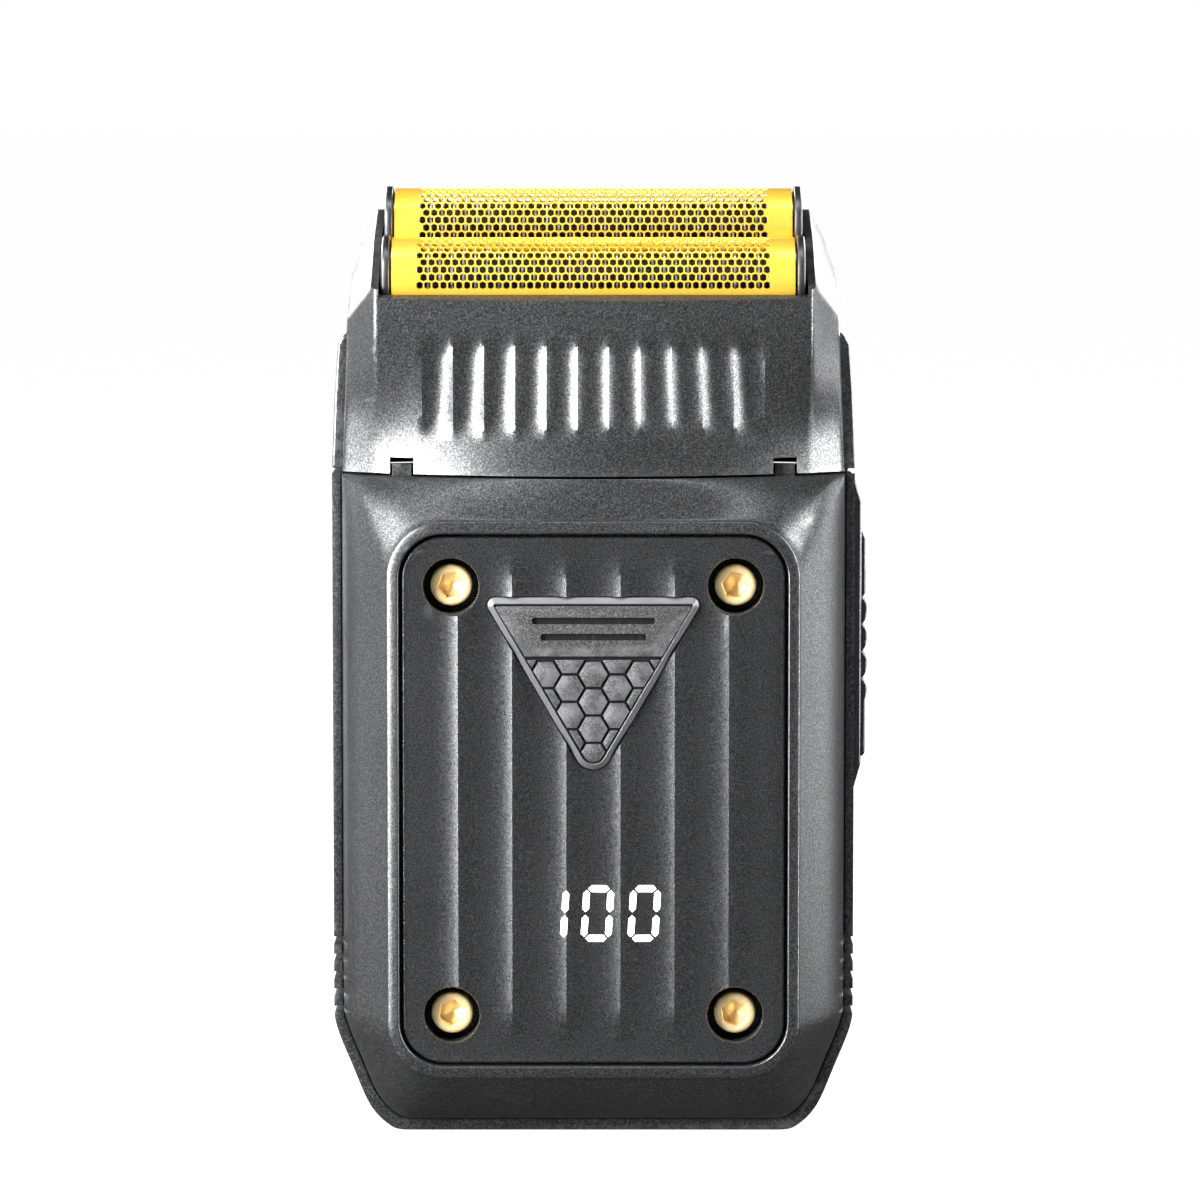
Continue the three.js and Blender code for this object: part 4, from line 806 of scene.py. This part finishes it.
def fluteRise(x, z):
    # Height of the standing flutes over the panel's face
    p = panel
    span = p["count"] * p["pitch"] / 2
    ax = np.abs(x)
    local = ((x + span) / p["pitch"]) % 1.0
    inside = (2 * local - 1) ** 2
    outside = np.clip(1 - 2 * (ax - span) / p["pitch"], 0, 1) ** 2
    profile = np.where(ax <= span + 1e-9, np.where(np.isclose(ax, span), 1.0, inside), outside)
    fade = smoothStep((panelHigh[2] - 1.0 - z) / 5) * smoothStep((z - panelLow[2] - 1.5) / 5)
    return p["rise"] * profile * fade


def spaced(start, end, count):
    # Evenly spaced, without the last one
    return list(np.linspace(start, end, count)[:-1])


def frontPanel():
    p = panel
    span = p["count"] * p["pitch"] / 2
    columns = spaced(-panelHalf - 2, -span - p["pitch"] / 2, 5) + spaced(-span - p["pitch"] / 2, -span, 9)
    columns += list(np.linspace(-span, span, p["count"] * 16 + 1))
    columns += [-c for c in columns[:12]][::-1]
    low, high = panelLow[2], panelHigh[2]
    rows = spaced(low - 2, low + 1.5, 3) + spaced(low + 1.5, low + 6.5, 14)  # close where the flutes fade
    rows += spaced(low + 6.5, high - 6, 24) + spaced(high - 6, high - 1, 14) + [high - 1, high + 2]
    nx, nz = len(columns), len(rows)
    xs, zs = np.meshgrid(columns, rows, indexing="ij")
    front = np.column_stack([xs.ravel(), p["faceY"] - fluteRise(xs, zs).ravel(), zs.ravel()])
    back = front.copy()
    back[:, 1] = p["backY"]

    def at(i, k):
        return i * nz + k

    faces = []
    for i in range(nx - 1):
        for k in range(nz - 1):
            faces.append((at(i, k), at(i + 1, k), at(i + 1, k + 1), at(i, k + 1)))
            faces.append(tuple(nx * nz + v for v in (at(i, k), at(i, k + 1), at(i + 1, k + 1), at(i + 1, k))))
    edge = [at(i, 0) for i in range(nx)] + [at(nx - 1, k) for k in range(1, nz)]
    edge += [at(i, nz - 1) for i in range(nx - 2, -1, -1)] + [at(0, k) for k in range(nz - 2, 0, -1)]
    for a, b in zip(edge, edge[1:] + edge[:1]):
        faces.append((a, b, b + nx * nz, a + nx * nz))
    solid = newObject("panel", np.vstack([front, back]), faces)

    def outline(inset, y):
        half = roundedHalf(panelHalf - inset, panelHigh[2] - inset, panelLow[2] + inset, p["radius"] - inset)
        return wholeRing(upright(half, y))

    e = p["edge"]
    f = p["faceY"]
    shape = [outline(0, p["backY"] + 1), outline(0, f + e), outline(e * 0.12, f + e * 0.55)]
    shape += [outline(e * 0.4, f + e * 0.18), outline(e * 0.85, f + 0.005), outline(e * 0.9, f - 2)]
    combine(solid, skin("outline", shape), "INTERSECT")
    floorY, r = f + p["wellDepth"], p["wellRadius"]
    boss = [(p["bossRadius"], p["backY"] - 0.5), (p["bossRadius"], floorY + 0.9)]
    well = [(screwSeat["hole"], floorY + 3), (screwSeat["hole"], floorY), (r, floorY), (r, f + 0.14)]
    well += [(r + 0.05, f + 0.03), (r + 0.16, f - 0.1), (r + 0.26, f - 0.7), (r + 0.3, f - 2)]
    for x, z in screwSpots("panel"):
        combine(solid, turned("boss", boss, x, z), "UNION")
        combine(solid, turned("well", well, x, z, 72))
    combine(solid, plateOf(badgeOutline(0.12), f - 2, f + 0.9))
    for stroke in strokes(-0.02):
        combine(solid, plateOf(stroke, f - 2, f + 0.35))
    place(solid, "front_panel_fine", "panel_paint", "front_panel", smooth=28)


badge = {
    "upperRadius": 0.9,
    "lowerRadius": 2.2,
    "slopeIn": 0.66,  # width of the sloping border
    "borderY": -16.86,
    "floorY": -16.58,
    "islandY": -17.0,
    "islandEdge": 0.07,
    "grooveHalf": 0.19,
    "dividerDrop": 6.9,
    "hexAcross": 2.9,
    "hexColumn": 2.8,
    "hexRow": 3.23,
    "hexDrop": 9.6,
    "slotDrop": 3.65,  # middle of the two slots, under the badge's top
    "slotApart": 0.95,  # half of it
    "slotHalf": 6.6,
    "slotTaper": 0.5,
    "slotRise": 0.4,
}


def badgeOutline(margin, steps=10):
    # Three-cornered outline with its point down, grown by a margin
    w = badgeHigh[0] + margin
    top, low = badgeHigh[2] + margin, badgeLow[2] - margin
    upper, lower = max(0.15, badge["upperRadius"] + margin), badge["lowerRadius"] + margin
    lean = math.degrees(math.atan2(badgeHigh[2] - badgeLow[2] + 2.1, badgeHigh[0]))
    half = np.vstack([
        [(0, top)],
        arc(w - upper * 1.02, top - upper, upper, 90, lean - 90, steps),
        arc(0, low + lower, lower, lean - 90, -90, steps),
    ])
    return wholeRing(half)


def clipped(polygon, clip):
    # Part of a polygon inside a convex outline given clockwise from above
    out = [np.array(p, float) for p in polygon]
    for a, b in zip(clip, np.roll(clip, -1, 0)):
        normal = np.array([b[1] - a[1], a[0] - b[0]])
        side = [float(np.dot(p - a, normal)) for p in out]
        kept = []
        for i, p in enumerate(out):
            q, sp, sq = out[i - 1], side[i], side[i - 1]
            if (sp >= 0) != (sq >= 0):
                kept.append(q + (p - q) * (sq / (sq - sp)))
            if sp >= 0:
                kept.append(p)
        out = kept
        if len(out) < 3:
            return []
    clean = [p for i, p in enumerate(out) if np.linalg.norm(p - out[i - 1]) > 0.03]
    return clean if len(clean) > 2 else []


def area(polygon):
    x, z = np.array(polygon).T
    return abs(np.dot(x, np.roll(z, 1)) - np.dot(z, np.roll(x, 1))) / 2


def shrunk(polygon, by):
    # Convex polygon with each side moved in
    p = np.array(polygon)
    middle = p.mean(0)
    lines = []
    for a, b in zip(p, np.roll(p, -1, 0)):
        n = np.array([b[1] - a[1], a[0] - b[0]])
        n = n / np.linalg.norm(n)
        if np.dot(middle - a, n) < 0:
            n = -n
        lines.append((n, np.dot(n, a) + by))
    out = []
    for (n0, d0), (n1, d1) in zip([lines[-1]] + lines[:-1], lines):
        m = np.array([n0, n1])
        if abs(np.linalg.det(m)) < 0.02:
            out.append(p[len(out)] + n1 * by)
        else:
            out.append(np.linalg.solve(m, np.array([d0, d1])))
    return np.array(out)


def island(polygon):
    g = badge
    e = g["islandEdge"]
    rings = [(0, g["floorY"] + 0.2), (0, g["islandY"] + e), (e * 0.3, g["islandY"] + e * 0.3), (e, g["islandY"])]
    return skin("island", [upright(shrunk(polygon, inset) if inset else polygon, y) for inset, y in rings])


def makeBadge():
    g = badge
    f = panel["faceY"]
    edge = [(0, f + 0.85), (0, f - 0.12), (0.03, f - 0.2), (0.1, f - 0.27)]
    edge += [(lerp(0.1, g["slopeIn"], t), lerp(f - 0.27, g["borderY"], t)) for t in (0.33, 0.66, 0.9)]
    edge += [(g["slopeIn"], g["borderY"]), (g["slopeIn"] + 0.06, g["borderY"] + 0.02)]
    edge += [(g["slopeIn"] + 0.1, g["floorY"])]
    plate = skin("badge", [upright(badgeOutline(-inset), y) for inset, y in edge])
    plate.data.materials.append(finishes["badge_edge"])
    plate.data.materials.append(finishes["badge_gloss"])
    for face in plate.data.polygons:
        face.material_index = 1 if len(face.vertices) > 4 else 0
    place(plate, "badge_plate", "badge_gloss", "badge", smooth=30)

    inside = badgeOutline(-g["slopeIn"] - 0.1 - g["grooveHalf"] * 1.2, 6)
    divide = badgeHigh[2] - g["dividerDrop"]
    pieces = []
    upper = island(clipped([(-20, divide + 0.02), (-20, 90), (20, 90), (20, divide + 0.02)], inside))
    for k in (-1, 1):  # two plain slots
        z = badgeHigh[2] - g["slotDrop"] + k * g["slotApart"]
        w, h = g["slotHalf"] + k * g["slotTaper"], g["slotRise"]
        slot = [(-w, z - h), (w, z - h), (w + 0.12, z), (w, z + h), (-w, z + h), (-w - 0.12, z)]
        combine(upper, plateOf(slot, g["islandY"] - 1, g["floorY"] + 1))
    pieces.append(upper)
    size = g["hexAcross"] / math.sqrt(3)
    corners = [(size * math.cos(k * math.pi / 3), size * math.sin(k * math.pi / 3)) for k in range(6)]
    lower = np.array([(-20, divide - 0.4), (20, divide - 0.4), (20, 0), (-20, 0)])
    for c in range(-3, 4):
        for r in range(6):
            x = c * g["hexColumn"]
            z = badgeHigh[2] - g["hexDrop"] - g["hexRow"] * (r - (0.5 if c % 2 else 0)) + 0.6
            cut = clipped([(x + a, z + b) for a, b in corners], inside)
            cut = clipped(cut, lower) if cut else []
            if cut and area(cut) > 0.5:
                pieces.append(island(cut))
    made = joined("islands", pieces)
    place(made, "badge_islands", "badge_gloss", "badge", smooth=25, finish="badge_matte")


digits = {
    "height": 6.8, "width": 3.75, "stroke": 0.9, "slant": 0.06, "mid": 27.9,
    "centres": (-4.8, 0.48, 5.99),
}


def strokes(margin):
    # Outlines of the lit strokes, each grown by a margin
    d = digits
    s = d["stroke"] / 2
    span, rise = d["width"] / 2 - s, d["height"] / 2 - s
    parts = []
    for n, x in enumerate(d["centres"]):
        for side in (1,) if n == 0 else (-1, 1):
            parts += [(x + side * span, d["mid"] + k * rise / 2, rise - 0.25, True) for k in (1, -1)]
        if n:
            parts += [(x, d["mid"] + k * rise, 2 * span - 0.25, False) for k in (1, -1)]
    out = []
    for x, z, length, tall in parts:
        half = length / 2 + margin
        w = s + margin
        shape = [(-half, 0), (-half + w, w), (half - w, w), (half, 0), (half - w, -w), (-half + w, -w)]
        shape = [(b, a) if tall else (a, b) for a, b in shape]
        out.append([(x + a + (z + b - d["mid"]) * d["slant"], z + b) for a, b in shape])
    return out


def lightStrokes():
    # Each stroke follows the flutes, level with the panel
    pieces = []
    for outline in strokes(-0.07):
        obj = plateOf(outline, panel["faceY"] + 0.3, panel["faceY"] - 0.02)
        low, high = min(p[0] for p in outline), max(p[0] for p in outline)
        bm = bmesh.new()
        bm.from_mesh(obj.data)
        for k in range(1, 14):  # slices give it points to follow the flutes with
            x = low + k * (high - low) / 14
            whole = bm.verts[:] + bm.edges[:] + bm.faces[:]
            bmesh.ops.bisect_plane(bm, geom=whole, plane_co=(x, 0, 0), plane_no=(1, 0, 0))
        for v in bm.verts:
            if v.co.y < panel["faceY"]:
                v.co.y -= float(fluteRise(np.array(v.co.x), np.array(v.co.z)))
        bm.to_mesh(obj.data)
        bm.free()
        faceOut(obj)
        pieces.append(obj)
    place(joined("strokes", pieces), "display_strokes", "lit_lens", "display_lens")


screw = {
    "shank": 1.2,
    "headDepth": 2.4,
    "socketHalf": 1.4,  # half of the size across flats
    "sides": 60,
    "turns": (12, -8, 25, 40),  # degrees each was left at when tightened
}


def socketScrew(n):
    low, high = boxOf(f"panel_screw_{n}")
    x, z, face, end = (low[0] + high[0]) / 2, (low[2] + high[2]) / 2, low[1], high[1]
    r = (high[0] - low[0]) / 2
    sides = screw["sides"]
    turn = math.radians(screw["turns"][n - 1])
    a = np.arange(sides) * 2 * math.pi / sides
    hexed = screw["socketHalf"] / np.cos((a % (math.pi / 3)) - math.pi / 6)
    shank, under = screw["shank"], face + screw["headDepth"]

    def ring(radius, y):
        radius = np.broadcast_to(radius, (sides,))
        return np.column_stack([x + radius * np.cos(a + turn), np.full(sides, y), z + radius * np.sin(a + turn)])

    rings = [ring(shank, end), ring(shank, under), ring(r, under)]
    rounding = ((0, 0.42), (0.03, 0.28), (0.11, 0.14), (0.24, 0.04), (0.42, 0))  # inwards, down
    rings += [ring(r - inwards, face + down) for inwards, down in rounding]
    socket = ((1.10, 0), (1.04, 0.05), (1, 0.16), (0.97, 1.15), (0.8, 1.2))  # share of the hexagon, depth
    rings += [ring(hexed * share, face + down) for share, down in socket]
    rings += [ring(np.minimum(hexed * 0.5, 0.75), face + 1.42), ring(0.3, face + 1.62), ring(0.06, face + 1.7)]
    place(skin("screw", rings), f"panel_screw_{n}_fine", "gold_screw", f"panel_screw_{n}", smooth=32)


frontPanel()
makeBadge()
lightStrokes()
for n in range(1, 5):
    socketScrew(n)
print("panel, badge, display and screws made")


foilFrontLow, foilFrontHigh = boxOf("foil_front")
foilRearLow, foilRearHigh = boxOf("foil_rear")
headLow = boxOf("head_shell")[0]
tilt = math.atan2(foilRearLow[2] - foilFrontLow[2], foilRearLow[1] - foilFrontLow[1])

foilShape = {
    "radius": 5.0,
    "thickness": 0.13,
    "skirt": 3.0,
    "pitch": 0.928,  # along a row, and between rows round the curve
    "rows": 14,
    "holes": 45,  # in a long row
    "open": 0.8,  # share of each cell that is hole
}
foilLines = [  # axis of each foil
    (foilFrontLow[1] + foilShape["radius"], foilFrontHigh[2] - foilShape["radius"]),
    (foilRearLow[1] + foilShape["radius"], foilRearHigh[2] - foilShape["radius"]),
]
foilMid = np.mean(foilLines, 0)


def leaned(points):
    # From the head's own tilted frame (across, along the pair, outwards) to the body's
    x, v, w = np.array(points, float).T
    c, s = math.cos(tilt), math.sin(tilt)
    return np.column_stack([x, foilMid[0] + v * c - w * s, foilMid[1] + v * s + w * c])


def leanedBlock(x0, x1, v0, v1, w0, w1):
    corners = [(x0, w0), (x1, w0), (x1, w1), (x0, w1)]
    return skin("block", [leaned([(x, v, w) for x, w in corners]) for v in (v0, v1)])


head = {
    "half": 30.0, "shoulder": 28.95, "shoulderRise": 25,
    "frontY": -14.6, "lipY": -12.3, "backY": 15.5,
    "crease": 25.8, "sag": 6.88, "lipSag": 0.6,
    "openingHalf": 25.25, "openingReach": 11.6, "openingFloor": -8.2,
    "lip": 0.9, "ear": 1.7, "earHalf": 26.15, "earDrop": 6.3, "earFall": 0.2,
    "wall": 1.9, "cavityHalf": 26.6, "cavityTop": -5.5,
    "flutes": 11, "flutePitch": 3.67, "fluteDepth": 0.56, "fluteLow": 82.9, "fluteHigh": 96.6, "fluteFade": 3.4,
    "notchHalf": latch["across"], "notchWidth": 2.85, "notchHeight": 1.9,
    "springLow": 82.7, "springHigh": 88.3, "springFront": -2.3, "springBack": 3.3,  # room for the button springs
    "edge": 0.16,
}


def headSag(z):
    lip = foilMid[1] - 4.8
    return lerp(head["sag"], head["lipSag"], smoothStep((z - headLow[2]) / (lip - headLow[2])))


def cornerRounds(before, corner, after, radius):
    # Points of a rounded corner, which takes most of a short side at the most
    back, on = before - corner, after - corner
    a = corner + back / np.linalg.norm(back) * min(radius, np.linalg.norm(back) * 0.9)
    b = corner + on / np.linalg.norm(on) * radius
    return [a * (1 - t) ** 2 + 2 * corner * t * (1 - t) + b * t * t for t in np.linspace(0, 1, 6)]


def headRing(z, xs, w, grow=0.0, flutes=False):
    # One level of the head: front face with its sag and flutes, then side and back
    h = head
    rise = z - headLow[2]
    climb = (h["lipY"] - h["frontY"]) / (foilMid[1] - 4.8 - headLow[2])
    front = h["frontY"] + climb * rise + grow
    back = h["backY"] + min(0.3, rise * 0.02) - max(0, z - 99.5) * 0.29 - grow
    x = w - grow
    sag = headSag(z)
    crease = min(h["crease"], x - 1.5)
    across = xs * crease
    y = front + sag * (across / crease) ** 2
    if flutes:
        span = h["flutes"] * h["flutePitch"] / 2
        local = ((across + span) / h["flutePitch"]) % 1.0
        dip = np.where(np.abs(across) < span - 1e-6, 1 - (2 * local - 1) ** 2, 0)
        fade = smoothStep((h["fluteHigh"] - z) / h["fluteFade"]) * smoothStep((z - h["fluteLow"]) / h["fluteFade"])
        y = y + h["fluteDepth"] * dip * fade
    face = np.column_stack([across, y])
    square = smoothStep((z - 90) / 13)
    side = [
        (crease, front + sag), (x, -4.9 + grow * 0.4), (x, 7), (x - 0.8, 9.8),
        (x - lerp(3.6, 1.9, square), back - lerp(2.4, 0.8, square)),
        (x * 0.55, back - 0.6), (x * 0.28, back - 0.15), (0, back),
    ]
    corners = [np.array(p) for p in (face[-2], side[0], side[1], side[2])]
    rounded = cornerRounds(*corners[:3], 0.55) + cornerRounds(*corners[1:], 0.8)  # crease, then front corner
    facet = [lerp(rounded[5], rounded[6], t) for t in (0.25, 0.5, 0.75)]
    rear = curveThrough([rounded[-1]] + side[2:], 6)
    right = np.vstack([face[:-1], rounded[:6], facet, rounded[6:], rear[1:]])
    half = np.column_stack([right[:, 0], right[:, 1], np.full(len(right), z)])
    return wholeRing(half)


def headShell():
    h = head
    span = h["flutes"] * h["flutePitch"] / 2
    inner = np.linspace(0, span, int(h["flutes"] * 5) + 1)  # cusps fall on columns, half pitches from the middle
    outer = np.linspace(span, h["crease"], 9)[1:]
    xs = np.concatenate([inner, outer]) / h["crease"]
    levels = [headLow[2]] + list(np.arange(81.0, h["fluteLow"], 0.9))
    levels += list(np.arange(h["fluteLow"], h["fluteHigh"] + 0.01, 0.34))
    levels += list(np.arange(h["fluteHigh"] + 0.7, 115, 0.9))

    def width(z):
        return lerp(h["half"], h["shoulder"], min(1, (z - headLow[2]) / h["shoulderRise"]))

    solid = skin("head", [headRing(z, xs, width(z), flutes=True) for z in levels])
    roof = [
        (-h["earHalf"], h["ear"]), (-h["shoulder"] - 0.35, h["ear"] - h["earDrop"]), (-40, -45), (40, -45),
        (h["shoulder"] + 0.35, h["ear"] - h["earDrop"]), (h["earHalf"], h["ear"]),
    ]
    falls = ((-40, 0), (0, 0), (40, h["earFall"] * 40))  # the ears run lower towards the back
    combine(solid, skin("roof", [leaned([(x, y, w - fall) for x, w in roof]) for y, fall in falls]), "INTERSECT")
    o, d = h["openingHalf"], h["openingReach"]
    combine(solid, leanedBlock(-o, o, -30, 30, h["lip"], 12))
    combine(solid, leanedBlock(-o, o, -d, d, h["openingFloor"], 12))
    few = np.linspace(0, 1, 9)
    levels = [headLow[2] - 2] + list(np.arange(83, 115, 3.0))
    cavity = skin("cavity", [headRing(z, few, h["cavityHalf"] + h["wall"], h["wall"]) for z in levels])
    combine(cavity, leanedBlock(-40, 40, -40, 40, -60, h["cavityTop"]), "INTERSECT")
    combine(solid, cavity)
    for side in (-1, 1):
        x, w = side * h["notchHalf"], h["notchWidth"] / 2
        combine(solid, block(x - w, x + w, -20, 0, headLow[2] - 1, headLow[2] + h["notchHeight"]))
        low, high = boxOf("release_button_" + ("left" if side < 0 else "right"))
        a, b = sorted((side * 27.5, side * 40))
        combine(solid, block(a, b, low[1] - 0.3, high[1] + 0.3, headLow[2] - 1, high[2] + 0.3))
        a, b = sorted((side * 24, side * 29))
        combine(solid, block(a, b, h["springFront"], h["springBack"], h["springLow"], h["springHigh"]))

    def clearOfFlutes(p):
        return not (p.y < -5 and h["fluteLow"] - 1 < p.z < h["fluteHigh"] + 0.5 and abs(p.x) < span + 0.6)

    softenEdges(solid, h["edge"], 42, 2, clearOfFlutes)
    place(solid, "head_shell_fine", "shell_paint", "head_shell", smooth=30)


def perforatedFoil(name, line):
    # A sheet with six-sided holes, meshed flat and then wrapped over its axis
    s = foilShape
    r = s["radius"]
    halfLength = boxOf(name)[1][0]
    reach = math.pi / 2 * r + s["skirt"]
    points, edges, owner = [], [], []

    def addLoop(loop, number):
        start = len(points)
        points.extend(loop)
        owner.extend([number] * len(loop))
        edges.extend((start + i, start + (i + 1) % len(loop)) for i in range(len(loop)))

    border = [(x, -reach) for x in np.linspace(-halfLength, halfLength, 60)[:-1]]
    border += [(halfLength, a) for a in np.linspace(-reach, reach, 48)[:-1]]
    border += [(x, reach) for x in np.linspace(halfLength, -halfLength, 60)[:-1]]
    border += [(-halfLength, a) for a in np.linspace(reach, -reach, 48)[:-1]]
    addLoop(border, -1)
    p = s["pitch"]
    k = s["open"]
    corners = [(0, 0.625 * p * k), (0.5 * p * k, 0.375 * p * k), (0.5 * p * k, -0.375 * p * k)]
    corners += [(-a, -b) for a, b in corners]  # a six-sided hole
    number = 0
    for row in range(s["rows"]):
        a = (row - (s["rows"] - 1) / 2) * p
        count = s["holes"] - row % 2
        for n in range(count):
            x = (n - (count - 1) / 2) * p
            addLoop([(x + dx, a + da) for dx, da in corners], number)
            number += 1
    bandX, bandA = s["holes"] / 2 * p + 0.25, (s["rows"] / 2) * p + 0.3  # the perforated part
    for x in np.arange(-halfLength + 0.7, halfLength - 0.3, 0.8):
        for a in np.arange(-reach + 0.45, reach - 0.2, 0.55):
            if abs(x) > bandX or abs(a) > bandA:
                points.append((x, a))
                owner.append(-1)
    verts, _, faces, origin, _, _ = delaunay_2d_cdt([Vector(q) for q in points], edges, [], 1, 1e-6)
    owners = [owner[o[0]] if o else -1 for o in origin]
    faces = [f for f in faces if not (owners[f[0]] >= 0 and owners[f[0]] == owners[f[1]] == owners[f[2]])]

    def wrap(q, radius):
        x, a = q
        bend = math.pi / 2 * r
        if abs(a) <= bend:
            t = a / r
            return (x, radius * math.sin(t), radius * math.cos(t))
        return (x, math.copysign(radius, a), bend - abs(a))

    outside = [wrap(v, r) for v in verts]
    inside = [wrap(v, r - s["thickness"]) for v in verts]
    count = len(verts)
    sides = {}
    for f in faces:
        for a, b in zip(f, f[1:] + f[:1]):
            sides[(a, b)] = sides.get((a, b), 0) + 1
    skinFaces = [tuple(f) for f in faces] + [tuple(count + v for v in reversed(f)) for f in faces]
    skinFaces += [(b, a, count + a, count + b) for a, b in sides if (b, a) not in sides]
    shifted = np.array(outside + inside)
    offset = (line[0] - foilMid[0]) * math.cos(tilt) + (line[1] - foilMid[1]) * math.sin(tilt)
    shifted[:, 1] += offset
    used = sorted({v for f in skinFaces for v in f})
    again = {v: i for i, v in enumerate(used)}
    world = leaned(shifted)
    obj = newObject(name, [world[v] for v in used], [tuple(again[v] for v in f) for f in skinFaces])
    place(obj, name + "_fine", "gold_foil", name, smooth=40)
    return offset


def archRing(x, offset, radius, low, count=26):
    a = np.radians(np.linspace(0, 180, count))
    outline = [(radius, low)] + list(zip(radius * np.cos(a), radius * np.sin(a))) + [(-radius, low)]
    return leaned([(x, offset + p, q) for p, q in outline])


cap = {
    "flange": 1.0,
    "overlap": 0.25,  # how far the flange stands over the foil
    "plugRadius": 4.5,
    # across, inwards and foot: the rolled edge of the flange
    "rolled": ((0, 0.42, -3.7), (0.05, 0.2, -3.85), (0.16, 0.05, -3.95), (0.32, 0, -4)),
}


def foilCap(name, offset, side):
    low, high = boxOf(name)
    inner, outer = (low[0], high[0]) if side > 0 else (high[0], low[0])
    flange = outer - side * cap["flange"]
    r = foilShape["radius"] + cap["overlap"]
    steps = [(inner, cap["plugRadius"], -3.0), (flange, cap["plugRadius"], -3.0)]
    steps += [(flange + side * across, r - inwards, foot) for across, inwards, foot in cap["rolled"]]
    steps += [(outer - side * across, r - inwards, foot) for across, inwards, foot in cap["rolled"][::-1]]
    dish = outer - side * 0.25  # the end is slightly dished
    steps += [(outer, r - 1.3, -3.2), (dish, r - 1.45, -3.1), (dish, 1.6, -1.6)]
    solid = skin("cap", [archRing(x, offset, radius, foot, 40) for x, radius, foot in steps])
    place(solid, name + "_fine", "cap_metal", name, smooth=32)


cutterShape = {
    "blades": 31, "pitch": 1.39, "thickness": 0.24, "radius": 4.62, "core": 2.7,
    "slotHalf": 1.5,  # slot that the drive post stands in
}


def driveSlot(offset, top):
    half = cutterShape["slotHalf"]
    return leanedBlock(-half, half, offset - 6, offset + 6, -5, top)


def cutter(name, offset):
    c = cutterShape
    reach = (c["blades"] - 1) * c["pitch"] / 2
    blades = []
    for n in range(c["blades"]):
        x = n * c["pitch"] - reach
        t = c["thickness"] / 2
        rim = c["radius"]
        steps = ((x - t, rim - 0.12), (x - t * 0.4, rim), (x + t * 0.4, rim), (x + t, rim - 0.12))
        blade = skin("blade", [archRing(a, offset, radius, -0.4, 22) for a, radius in steps])
        if abs(x) < 1.9:  # room for the drive post
            combine(blade, driveSlot(offset, 0.5))
        blades.append(blade)
    place(joined("blades", blades), name + "_blades", "blade_steel", name, smooth=40)
    core = skin("core", [archRing(a, offset, c["core"], -3.2, 14) for a in (-reach - 0.15, reach + 0.15)])
    combine(core, driveSlot(offset, 0.4))
    softenEdges(core, 0.15, 50)
    place(core, name + "_core", "blade_steel", name, smooth=35, finish="black_plastic")


headShell()
for word, line in zip(("front", "rear"), foilLines):
    offset = perforatedFoil("foil_" + word, line)
    cutter("cutter_" + word, offset)
    for end, side in (("left", -1), ("right", 1)):
        foilCap(f"foil_cap_{word}_{end}", offset, side)
print("head, foils and cutters made")


softened = {
    # pieces kept as the model has them, with rounded edges: slot, edge radius, smallest angle
    "switch_base": ("switch_gloss", 0.35, 18), "switch_slider": ("switch_gloss", 0.22, 14),
    "release_button_left": ("shell_paint", 0.3, 40), "release_button_right": ("shell_paint", 0.3, 40),
    "top_deck": ("black_plastic", 0.25, 45), "seal_ring": ("seal_rubber", 0.25, 45),
    "foil_carrier": ("black_plastic", 0.2, 45), "oscillator": ("white_plastic", 0.2, 45),
    "chassis": ("black_plastic", 0.25, 45), "motor_bracket": ("white_plastic", 0.25, 45),
    "motor_case": ("motor_can", 0.35, 50), "battery": ("cell_wrap", 0.5, 50),
    "battery_tab_low": ("steel", 0.08, 50), "battery_tab_high": ("steel", 0.08, 50),
    "eccentric": ("white_plastic", 0.2, 50), "motor_shaft": ("steel", 0.15, 50),
    "main_board": ("board_green", 0.1, 50), "charge_board": ("board_green", 0.06, 50),
    "charge_port": ("steel", 0.08, 50), "charge_light": ("lit_lens", 0.1, 50),
    "display_module": ("white_plastic", 0.2, 50), "power_switch": ("black_plastic", 0.2, 50),
    "vent_screen_left": ("black_plastic", 0.08, 50), "vent_screen_right": ("black_plastic", 0.08, 50),
}
for n in range(1, 5):
    softened[f"rear_screw_{n}"] = ("steel", 0.12, 50)
for name in cadNodes:
    if "spring" in name:
        softened[name] = ("steel", 0, 50)


def softenedCopy(name, slotName, radius, angle):
    obj = bpy.data.objects.new(name, cadNodes[name].data.copy())
    bpy.context.scene.collection.objects.link(obj)
    obj.data.materials.clear()
    obj.data.transform(Matrix.Scale(1 / millimetre, 4))
    bm = bmesh.new()
    bm.from_mesh(obj.data)
    bmesh.ops.remove_doubles(bm, verts=bm.verts, dist=0.002)
    bmesh.ops.dissolve_limit(bm, angle_limit=math.radians(1), verts=bm.verts, edges=bm.edges)
    bm.to_mesh(obj.data)
    bm.free()
    if radius:
        softenEdges(obj, radius, angle, 3)
    return place(obj, name + "_fine", slotName, name, smooth=35)


def squashSpring(obj):
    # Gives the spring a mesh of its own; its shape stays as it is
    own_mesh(obj)


for name, values in softened.items():
    softenedCopy(name, *values)
for row in ("front", "rear"):
    for side in ("left", "right"):
        squashSpring(bpy.data.objects[f"foil_spring_{row}_{side}_fine"])
for side, outwards in (("left", -1), ("right", 1)):
    squashSpring(bpy.data.objects[f"button_spring_{side}_fine"])
print("softened pieces made")

left = [n for n, o in cadNodes.items() if not o.hide_render]
print("nodes still shown as they are:", left)

bpy.context.view_layer.update()
